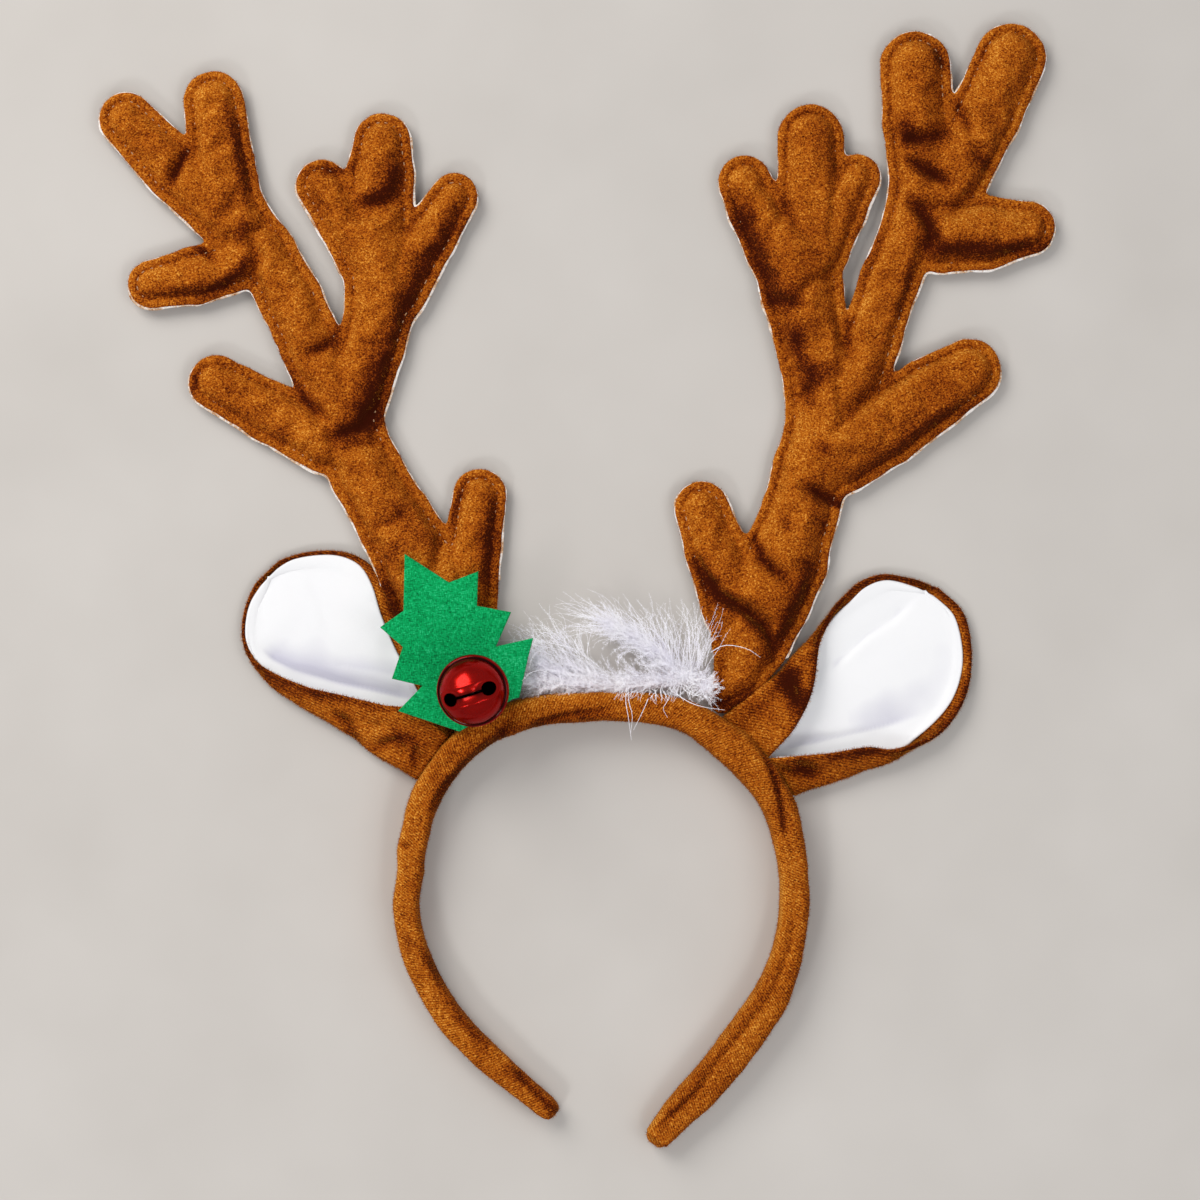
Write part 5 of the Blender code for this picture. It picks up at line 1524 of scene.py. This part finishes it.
def build_bell(material, inside_material):
    """The pressed bell: lower cup, crimped ring, upper cup with two holes joined by a lipped slot."""
    (first, first_faces), (second, second_faces) = [lathe(skin, BELL_SIDES) for skin in bell_profiles()]
    gap = slot_gap(first)
    ends = np.hypot(np.abs(first[:, 0]) - HOLE_OFFSET, first[:, 1])
    pressed = 0.85 * swell(gap, SLOT_VALLEY) - 0.30 * swell(gap - LIP_GAP, 0.8)
    pressed += 0.40 * swell(np.maximum(ends - BELL_HOLE_RADIUS, 0), 0.9)
    first = press(first, pressed)
    second = press(second, 0.8 * swell(slot_gap(second), SLOT_VALLEY))
    points, faces = joined([(first, first_faces), (second, second_faces)])
    bell = add_piece("bell_shell", points, faces, material, "bell_metal", "bell")
    mouth = math.asin(SLOT_SEEN / 2 / BELL_HOLE_RADIUS)
    arc = np.linspace(mouth, 2 * math.pi - mouth, 40)
    left = [(BELL_HOLE_RADIUS * math.cos(a) - HOLE_OFFSET, BELL_HOLE_RADIUS * math.sin(a)) for a in arc]
    cutter = prism(left + [(-x, -y) for x, y in left], 3.0, 20.0)
    cut = bell.modifiers.new("cut", "BOOLEAN")
    cut.operation = "DIFFERENCE"
    cut.object = cutter
    apply_modifiers(bell)
    bpy.data.objects.remove(cutter)
    made = mesh_points(bell.data) / MM
    gap, up = slot_gap(made), made[:, 2]
    half_wall = BELL_WALL / 2
    across = np.hypot(made[:, 0], made[:, 1]) / (BELL_UPPER_RADIUS - half_wall)
    upper = np.hypot(across, (up - BELL_RING_TOP) / (BELL_RADIUS - BELL_RING_TOP - half_wall)) < 1.0
    upper &= (gap > 2.5) | (up < BELL_RADIUS - 2.2)
    lower = np.linalg.norm(made, axis=1) < BELL_RADIUS - half_wall
    inside = np.where(up > BELL_RING_TOP, upper, lower)
    # Painted shade along the valley of the slot.
    dark = 0.75 * swell(gap, SLOT_VALLEY) * (up > 3)
    set_mesh_points(bell.data, (made @ bell_turn().T + bell_place()) * MM)
    bell.data.materials.clear()
    bell.data.materials.append(material)
    bell.data.shade_smooth()
    bell.data.set_sharp_from_angle(angle=math.radians(42))
    # The inside of the bell is painted fully dark as shade, the outside only along the slot.
    set_shade(bell.data, np.where(inside, 1.0, dark))
    arc = np.linspace(-math.pi / 2, math.pi / 2, 25)
    profile = [(PELLET_RADIUS * math.cos(a), PELLET_RADIUS * math.sin(a)) for a in arc]
    profile[0], profile[-1] = (0.0, -PELLET_RADIUS), (0.0, PELLET_RADIUS)
    ball, ball_faces = lathe(profile, 40)
    ball += bell_place() - (0, 0, BELL_REACH - PELLET_RADIUS - CLEARANCE)
    add_piece("bell_pellet_ball", ball, ball_faces, inside_material, "pellet_metal", "bell_pellet")


def bell_turn():
    """Rotation of the bell: slot turned, then leaning a little."""
    c, s = math.cos(BELL_SLOT_TURN), math.sin(BELL_SLOT_TURN)
    slot = np.array(((c, -s, 0), (s, c, 0), (0, 0, 1)))
    lean_x, lean_y = BELL_TILT * -math.sin(BELL_TILT_TOWARDS), BELL_TILT * math.cos(BELL_TILT_TOWARDS)
    cx, sx, cy, sy = math.cos(lean_x), math.sin(lean_x), math.cos(lean_y), math.sin(lean_y)
    tilt_x = np.array(((1, 0, 0), (0, cx, -sx), (0, sx, cx)))
    tilt_y = np.array(((cy, 0, sy), (0, 1, 0), (-sy, 0, cy)))
    return slot @ tilt_y @ tilt_x


def prism(outline, low, high):
    """A hidden upright body for a cut."""
    count = len(outline)
    points = [(x, y, low) for x, y in outline] + [(x, y, high) for x, y in outline]
    faces = [tuple(range(count))[::-1], tuple(range(count, 2 * count))]
    faces += [(i, (i + 1) % count, (i + 1) % count + count, i + count) for i in range(count)]
    return add_piece("guide", points, faces, None, ride=False)


# Feather trim.
# Groups of barbs: places x, y along their spine, number, bearing at both ends of the spine and its
# spread in degrees, least and greatest length, width, side hairs for each mm and their length, least and
# greatest height.
BARB_GROUPS = (
    (((-12.0, -33.0), (7.7, -33.6), (28.0, -33.0), (41.0, -31.5)),
     460, 188, 160, 36, 6.0, 14.0, 0.10, 2.0, 1.6, 2, 12),
    (((-15.5, -33.0), (10.0, -34.2), (41.5, -32.5)),
     260, 150, 110, 60, 2.5, 5.0, 0.10, 2.2, 1.4, 4, 13),
    (((37.0, -29.5), (26.0, -21.5), (14.0, -14.5)),
     250, 155, 150, 22, 7.0, 14.0, 0.10, 1.8, 1.9, 3, 12),
    (((10.0, -32.0), (-2.0, -31.0), (-12.0, -28.0)),
     230, 152, 138, 28, 9.0, 19.0, 0.10, 1.3, 1.5, 3, 11),
    (((33.0, -27.0), (22.0, -18.5), (8.0, -12.5)),
     120, 108, 168, 26, 12.0, 22.0, 0.14, 0.5, 1.1, 6, 13),
    (((30.0, -29.5), (42.0, -29.5)),
     115, 126, 72, 20, 12.0, 26.0, 0.14, 0.6, 1.2, 4, 12),
    (((33.0, -31.0), (40.0, -31.5), (45.0, -36.5)),
     300, 110, 70, 160, 3.0, 7.0, 0.12, 1.8, 1.4, 5, 14),
    (((4.0, -26.0), (-6.0, -20.0), (-14.0, -22.0)),
     70, 118, 172, 40, 8.0, 17.0, 0.13, 0.4, 1.0, 5, 12),
    (((14.0, -35.0), (42.0, -34.5)),
     60, 240, 300, 40, 2.5, 5.5, 0.14, 0.6, 0.9, 15, 16.5),
)
# Stray barbs: x, y, z through their places.
STRAYS = (
    ((45.2, -22.5, 12.4), (50.0, -20.1, 14.4), (57.2, -21.2, 14.6), (62.0, -24.2, 13.6)),
    ((16.6, -34.5, 12.0), (16.4, -39.5, 15.6), (17.2, -44.1, 16.4), (18.3, -52.2, 14.8)),
    ((17.2, -34.5, 12.0), (17.4, -39.0, 15.8), (18.6, -44.0, 16.4), (18.0, -50.2, 15.2)),
    ((24.8, -35.5, 12.0), (23.4, -39.6, 15.8), (21.3, -44.1, 16.2), (19.0, -48.8, 15.0)),
    ((33.3, -36.5, 13.0), (38.0, -39.4, 15.9), (43.0, -41.0, 16.2), (50.0, -42.0, 15.4)),
    ((29.0, -35.5, 12.0), (30.5, -38.6, 15.8), (29.0, -41.4, 16.2), (30.6, -44.6, 15.6)),
    ((36.0, -35.0, 12.0), (39.6, -37.2, 15.6), (42.0, -36.6, 15.8), (45.6, -38.4, 15.6)),
    ((-8.7, -23.6, 12.0), (-12.5, -21.9, 15.8), (-15.2, -24.2, 16.4), (-16.2, -28.0, 16.2)),
    ((-7.3, -30.7, 12.0), (-11.8, -28.7, 16.2), (-15.9, -29.4, 16.6), (-18.6, -32.1, 16.6)),
    ((-6.0, -18.4, 11.0), (-11.1, -15.7, 14.4), (-14.2, -18.4, 15.6), (-15.2, -21.9, 15.9)),
)
STRAY_WIDTH = 0.24
# Points along a barb, and the greatest width of a side hair.
BARB_STEPS = 10
HAIR_WIDTH = 0.08
# Left of this x the barbs stay below the leaf, right of it below the higher limit.
LEAF_SIDE = -13.5
BARB_TOP_LEFT = 9.5
BARB_TOP_RIGHT = 17.0
CORD_HEIGHT = 2.6
CORD_RADIUS = 0.5
CORD_STEPS = 40


def build_feather(material):
    """Downy barbs in groups, dense along the crown and wispy at the ends, on a thin core cord."""
    random = np.random.default_rng(7)
    parts = []
    along = np.linspace(0, 1, BARB_STEPS)
    for spine, count, first, last, spread, short, long, width, hairs, hair_length, low, high in BARB_GROUPS:
        line = even_points(through_points([(*place, 0.0) for place in spine], 12), 200)[:, :2]
        paths = []
        for index in range(count):
            t = (index + random.random()) / count
            base = line[int(t * 199)] + random.normal(0, 0.9, 2)
            angle = math.radians(first + t * (last - first) + spread * random.uniform(-1, 1))
            length = random.uniform(short, long)
            bearing = angle + random.normal(0.15, 0.55) * along ** 1.5
            bearing += random.normal(0, 0.22) * np.sin(6.0 * along + random.uniform(0, 6))
            heading = np.column_stack([np.cos(bearing), np.sin(bearing)])
            height = random.uniform(low, high) + random.normal(0.10, 0.2) * along * length
            height -= 0.008 * (along * length) ** 2
            place = base + np.cumsum(heading, axis=0) * length / BARB_STEPS
            top = np.where(place[:, 0] < LEAF_SIDE, BARB_TOP_LEFT, BARB_TOP_RIGHT)
            paths.append(np.column_stack([place, np.clip(height, 0.8, top)]))
        parts.append(ribbon_hairs(np.array(paths), width, random, hairs, hair_length))
    strays = np.array([even_points(through_points(rows, 8), BARB_STEPS) for rows in STRAYS])
    parts.append(ribbon_hairs(strays, STRAY_WIDTH, random, 0.5, 0.7))
    add_piece("feather_down", *joined(parts), material, "feather", "feather_trim")
    cord = through_points([(*place, CORD_HEIGHT) for place in BARB_GROUPS[0][0]], 12)
    points, faces = tube_set(even_points(cord, CORD_STEPS)[None], np.full(CORD_STEPS, CORD_RADIUS), 8)
    add_piece("feather_cord", points, faces, material, "feather")


def ribbon_hairs(paths, width, random, hairs, hair_length):
    """Thin flat barbs along the paths, each with tapering side hairs."""
    count, steps = paths.shape[:2]
    runs = unit(np.gradient(paths, axis=1))
    side = unit(np.cross(runs, (0, 0, 1.0)), 1e-6)
    taper = np.linspace(1.0, 0.3, steps)[None, :, None] * width / 2
    barbs = np.stack([paths - side * taper, paths + side * taper], axis=2).reshape(-1, 3)
    i = (np.arange(count)[:, None] * steps * 2 + np.arange(steps - 1)[None] * 2).ravel()
    faces = [tuple(f) for f in np.column_stack([i, i + 1, i + 3, i + 2])]
    starts, headings, lengths = [], [], []
    for path, run in zip(paths, runs):
        reach = np.linalg.norm(np.diff(path, axis=0), axis=1).sum()
        number = max(int(reach * hairs), 1) * 2
        t = np.sort(random.random(number)) * 0.97 + 0.02
        place, way = [
            np.column_stack([np.interp(t * (steps - 1), np.arange(steps), row[:, k]) for k in range(3)])
            for row in (path, run)]
        hand = np.where(np.arange(number) % 2, 1.0, -1.0)[:, None]
        head = way * 1.3 + np.cross(way, (0, 0, 1.0)) * hand + random.normal(0, 0.35, (number, 3))
        starts.append(place)
        headings.append(unit(head))
        lengths.append(hair_length * (0.45 + 0.75 * random.random(number)) * (1.1 - 0.55 * t))
    starts, headings, lengths = np.vstack(starts), np.vstack(headings), np.concatenate(lengths)
    bow = np.cross(headings, random.normal(0, 1, headings.shape))
    bow *= (lengths * 0.16 / np.linalg.norm(bow, axis=1))[:, None]
    middle = starts + headings * (lengths * 0.5)[:, None] + bow
    tips = starts + headings * lengths[:, None]
    thin = np.cross(headings, (0, 0, 1.0))
    thin *= (HAIR_WIDTH / 2 / np.maximum(np.linalg.norm(thin, axis=1), 1e-6))[:, None]
    rows = [starts - thin, starts + thin, middle - thin * 0.8, middle + thin * 0.8, tips]
    block = np.stack(rows, axis=1)
    k = len(barbs) + np.arange(len(starts)) * 5
    faces += [tuple(f) for f in np.column_stack([k, k + 1, k + 3, k + 2])]
    faces += [tuple(f) for f in np.column_stack([k + 2, k + 3, k + 4])]
    return np.vstack([barbs, block.reshape(-1, 3)]), faces


# Radius of a fibre of the pile at its root, and how deep it is rooted.
PILE_RADIUS = 0.06
PILE_ROOT = 0.08


def add_pile(name, item, count, length, material, seed, side_limit=0.7):
    """Short closed fibres that stand out of the steep sides of a velvet piece."""
    random = np.random.default_rng(seed)
    mesh = item.data
    mesh.calc_loop_triangles()
    corners = np.empty(len(mesh.loop_triangles) * 3, np.int32)
    mesh.loop_triangles.foreach_get("vertices", corners)
    a, b, c = (mesh_points(mesh)[corners.reshape(-1, 3)] / MM).transpose(1, 0, 2)
    normal = np.cross(b - a, c - a)
    size = np.linalg.norm(normal, axis=1)
    normal /= np.maximum(size, 1e-9)[:, None]
    weight = size * (np.abs(normal[:, 2]) < side_limit) * (a[:, 2] > 0.8)
    pick = np.searchsorted(np.cumsum(weight), random.random(count) * weight.sum())
    pick = np.minimum(pick, len(weight) - 1)
    u, v = random.random(count), random.random(count)
    u, v = np.where(u + v > 1, 1 - u, u)[:, None], np.where(u + v > 1, 1 - v, v)[:, None]
    root = a[pick] + u * (b - a)[pick] + v * (c - a)[pick] - PILE_ROOT * normal[pick]
    out = unit(normal[pick] + random.normal(0, 0.5, (count, 3)))
    tip = root + out * (length * random.uniform(0.4, 1.3, count))[:, None]
    tip[:, 2] = np.maximum(tip[:, 2], 0.1)
    side = np.cross(out, random.normal(0, 1, (count, 3)))
    side *= (PILE_RADIUS / np.linalg.norm(side, axis=1))[:, None]
    lift = np.cross(out, side)
    rows = [root + side, root - 0.5 * side + 0.87 * lift, root - 0.5 * side - 0.87 * lift, tip]
    block = np.stack(rows, axis=1)
    k = 4 * np.arange(count)[:, None]
    faces = np.vstack([k + (0, 2, 1), k + (0, 1, 3), k + (1, 2, 3), k + (2, 0, 3)])
    pile = add_piece(name, block.reshape(-1, 3), faces, material, "velvet")
    set_shade(pile.data, np.repeat(random.uniform(-0.30, 0.20, count), 4))
    set_shade(pile.data, np.zeros(4 * count), "rib")


# Scene.
# Boxes in which a cut edge or stitches are covered by something else: low corner, high corner.
HIDDEN_LEFT = (((-80.0, -45.0), (-55.0, 0.0)), ((-60.0, -45.0), (-15.0, 2.0)))
HIDDEN_RIGHT = (((40.0, -45.0), (75.0, -25.0)),)


def build_antlers(edge, stitch):
    """Both padded antlers with their cut edges, stitches and the pile along their outline."""
    sides = (("left", LEFT_ANTLER, LEFT_FOLDS), ("right", RIGHT_ANTLER, RIGHT_FOLDS))
    jobs = [(side, limbs, folds, *antler_start(limbs, folds)) for side, limbs, folds in sides]
    blown = blown_shapes([job[3:6] for job in jobs])
    looks = {"left": (LEFT_SHADE_AND_NAP, velvet("velvet_antler_left", 0.0, 0.4), HIDDEN_LEFT),
             "right": (RIGHT_SHADE_AND_NAP, velvet("velvet_antler_right", 0.0, -0.6), HIDDEN_RIGHT)}
    for index, (side, limbs, folds, points, faces, _, count) in enumerate(jobs):
        painted_shade_and_tone, material, hidden = looks[side]
        item = finish_antler("antler_%s_velvet" % side, "antler_" + side, limbs, folds, painted_shade_and_tone,
                             points, faces, count, blown[index], material)
        add_raw_edge("antler_%s_raw_edge" % side, limbs, edge, 81 + index * 5, hidden)
        add_stitches("antler_%s_stitches" % side, limbs, stitch, 91 + index, hidden)
        add_pile("antler_%s_pile" % side, item, 9000, 0.7, material, 11 + index, 0.5)


# Camera: lens and sensor in millimetres, the place under it, and in metres the height and width of the
# level that just fills the picture.
LENS = 100.0
SENSOR = 36.0
PICTURE_MIDDLE = (0.00768, -0.00478)
PICTURE_LEVEL = 0.0045
PICTURE_WIDTH = 0.4098
FLOOR_REACH = 3.0
FLOOR_DROP = 0.0002
WORLD_LIGHT = 0.45
# Lights turned to the middle: name, place, width, strength, colour.
LIGHTS = (
    ("key", (-0.75, 0.80, 0.95), 0.9, 16.0, (1.0, 0.98, 0.95)),
    ("fill", (0.80, -0.30, 1.10), 0.7, 4.0, (1.0, 1.0, 1.0)),
    ("low_left", (-0.45, -0.75, 0.75), 0.20, 2.2, (1.0, 1.0, 1.0)),
    ("low_right", (0.30, -0.70, 0.80), 0.16, 1.0, (1.0, 1.0, 1.0)),
)


def add_light(name, place, width, energy, color):
    light = bpy.data.lights.new(name, "AREA")
    light.shape = "RECTANGLE"
    light.size = width
    light.size_y = width
    light.energy = energy
    light.color = color
    item = bpy.data.objects.new(name, light)
    bpy.context.scene.collection.objects.link(item)
    item.location = place
    item.rotation_euler = (-Vector(place)).to_track_quat("-Z", "Y").to_euler()


def build_stage():
    """Camera straight above, plain pale floor and soft studio light."""
    scene = bpy.context.scene
    lens = bpy.data.cameras.new("camera")
    lens.lens = LENS
    lens.sensor_width = SENSOR
    camera = bpy.data.objects.new("camera", lens)
    scene.collection.objects.link(camera)
    camera.location = (*PICTURE_MIDDLE, PICTURE_LEVEL + PICTURE_WIDTH * LENS / SENSOR)
    scene.camera = camera
    floor_mesh = bpy.data.meshes.new("floor")
    corners = [(x * FLOOR_REACH, y * FLOOR_REACH, 0) for x, y in ((-1, -1), (1, -1), (1, 1), (-1, 1))]
    floor_mesh.from_pydata(corners, [], [(0, 1, 2, 3)])
    floor_mesh.materials.append(floor_paint())
    floor = bpy.data.objects.new("floor", floor_mesh)
    floor.location = (0, 0, -FLOOR_DROP)
    scene.collection.objects.link(floor)
    world = bpy.data.worlds.new("studio")
    world.use_nodes = True
    background = world.node_tree.nodes["Background"].inputs
    background["Color"].default_value = (0.95, 0.97, 1.0, 1.0)
    background["Strength"].default_value = WORLD_LIGHT
    scene.world = world
    for row in LIGHTS:
        add_light(*row)
    scene.view_settings.view_transform = "Standard"
    scene.view_settings.look = "None"


def main():
    build_stage()
    tan = thread("tan_thread", (0.26, 0.085, 0.02), (0.60, 0.36, 0.17))
    build_antlers(raw_edge("raw_edge"), tan)
    band = build_band(velvet("velvet_band", -0.05, 0.9, 0.10))
    add_pile("band_pile", band, 12000, 0.9, band.data.materials[0], 21)
    for side, *tables in (("left", LEFT_EAR, LEFT_EAR_CREASES, LEFT_EAR_SHADE_AND_NAP, LEFT_LINING_FOLDS),
                          ("right", RIGHT_EAR, RIGHT_EAR_CREASES, RIGHT_EAR_SHADE_AND_NAP, RIGHT_LINING_FOLDS)):
        cloth = velvet("velvet_ear_" + side, -0.04, 0.3, 0.10)
        ear, lining = build_ear(side, *tables, cloth, satin("satin_ear_" + side))
        add_pile("ear_%s_pile" % side, ear, 9000, 1.0, cloth, 31)
        for piece, on in ((ear, band.name), (lining, ear.name)):
            mesh_area(piece) / 2
    leaf = build_leaf(felt("green_felt"))
    mesh_area(leaf) / 2
    build_bell(lacquer("red_lacquer"), steel("pellet_steel"))
    build_feather(down("white_down"))


main()
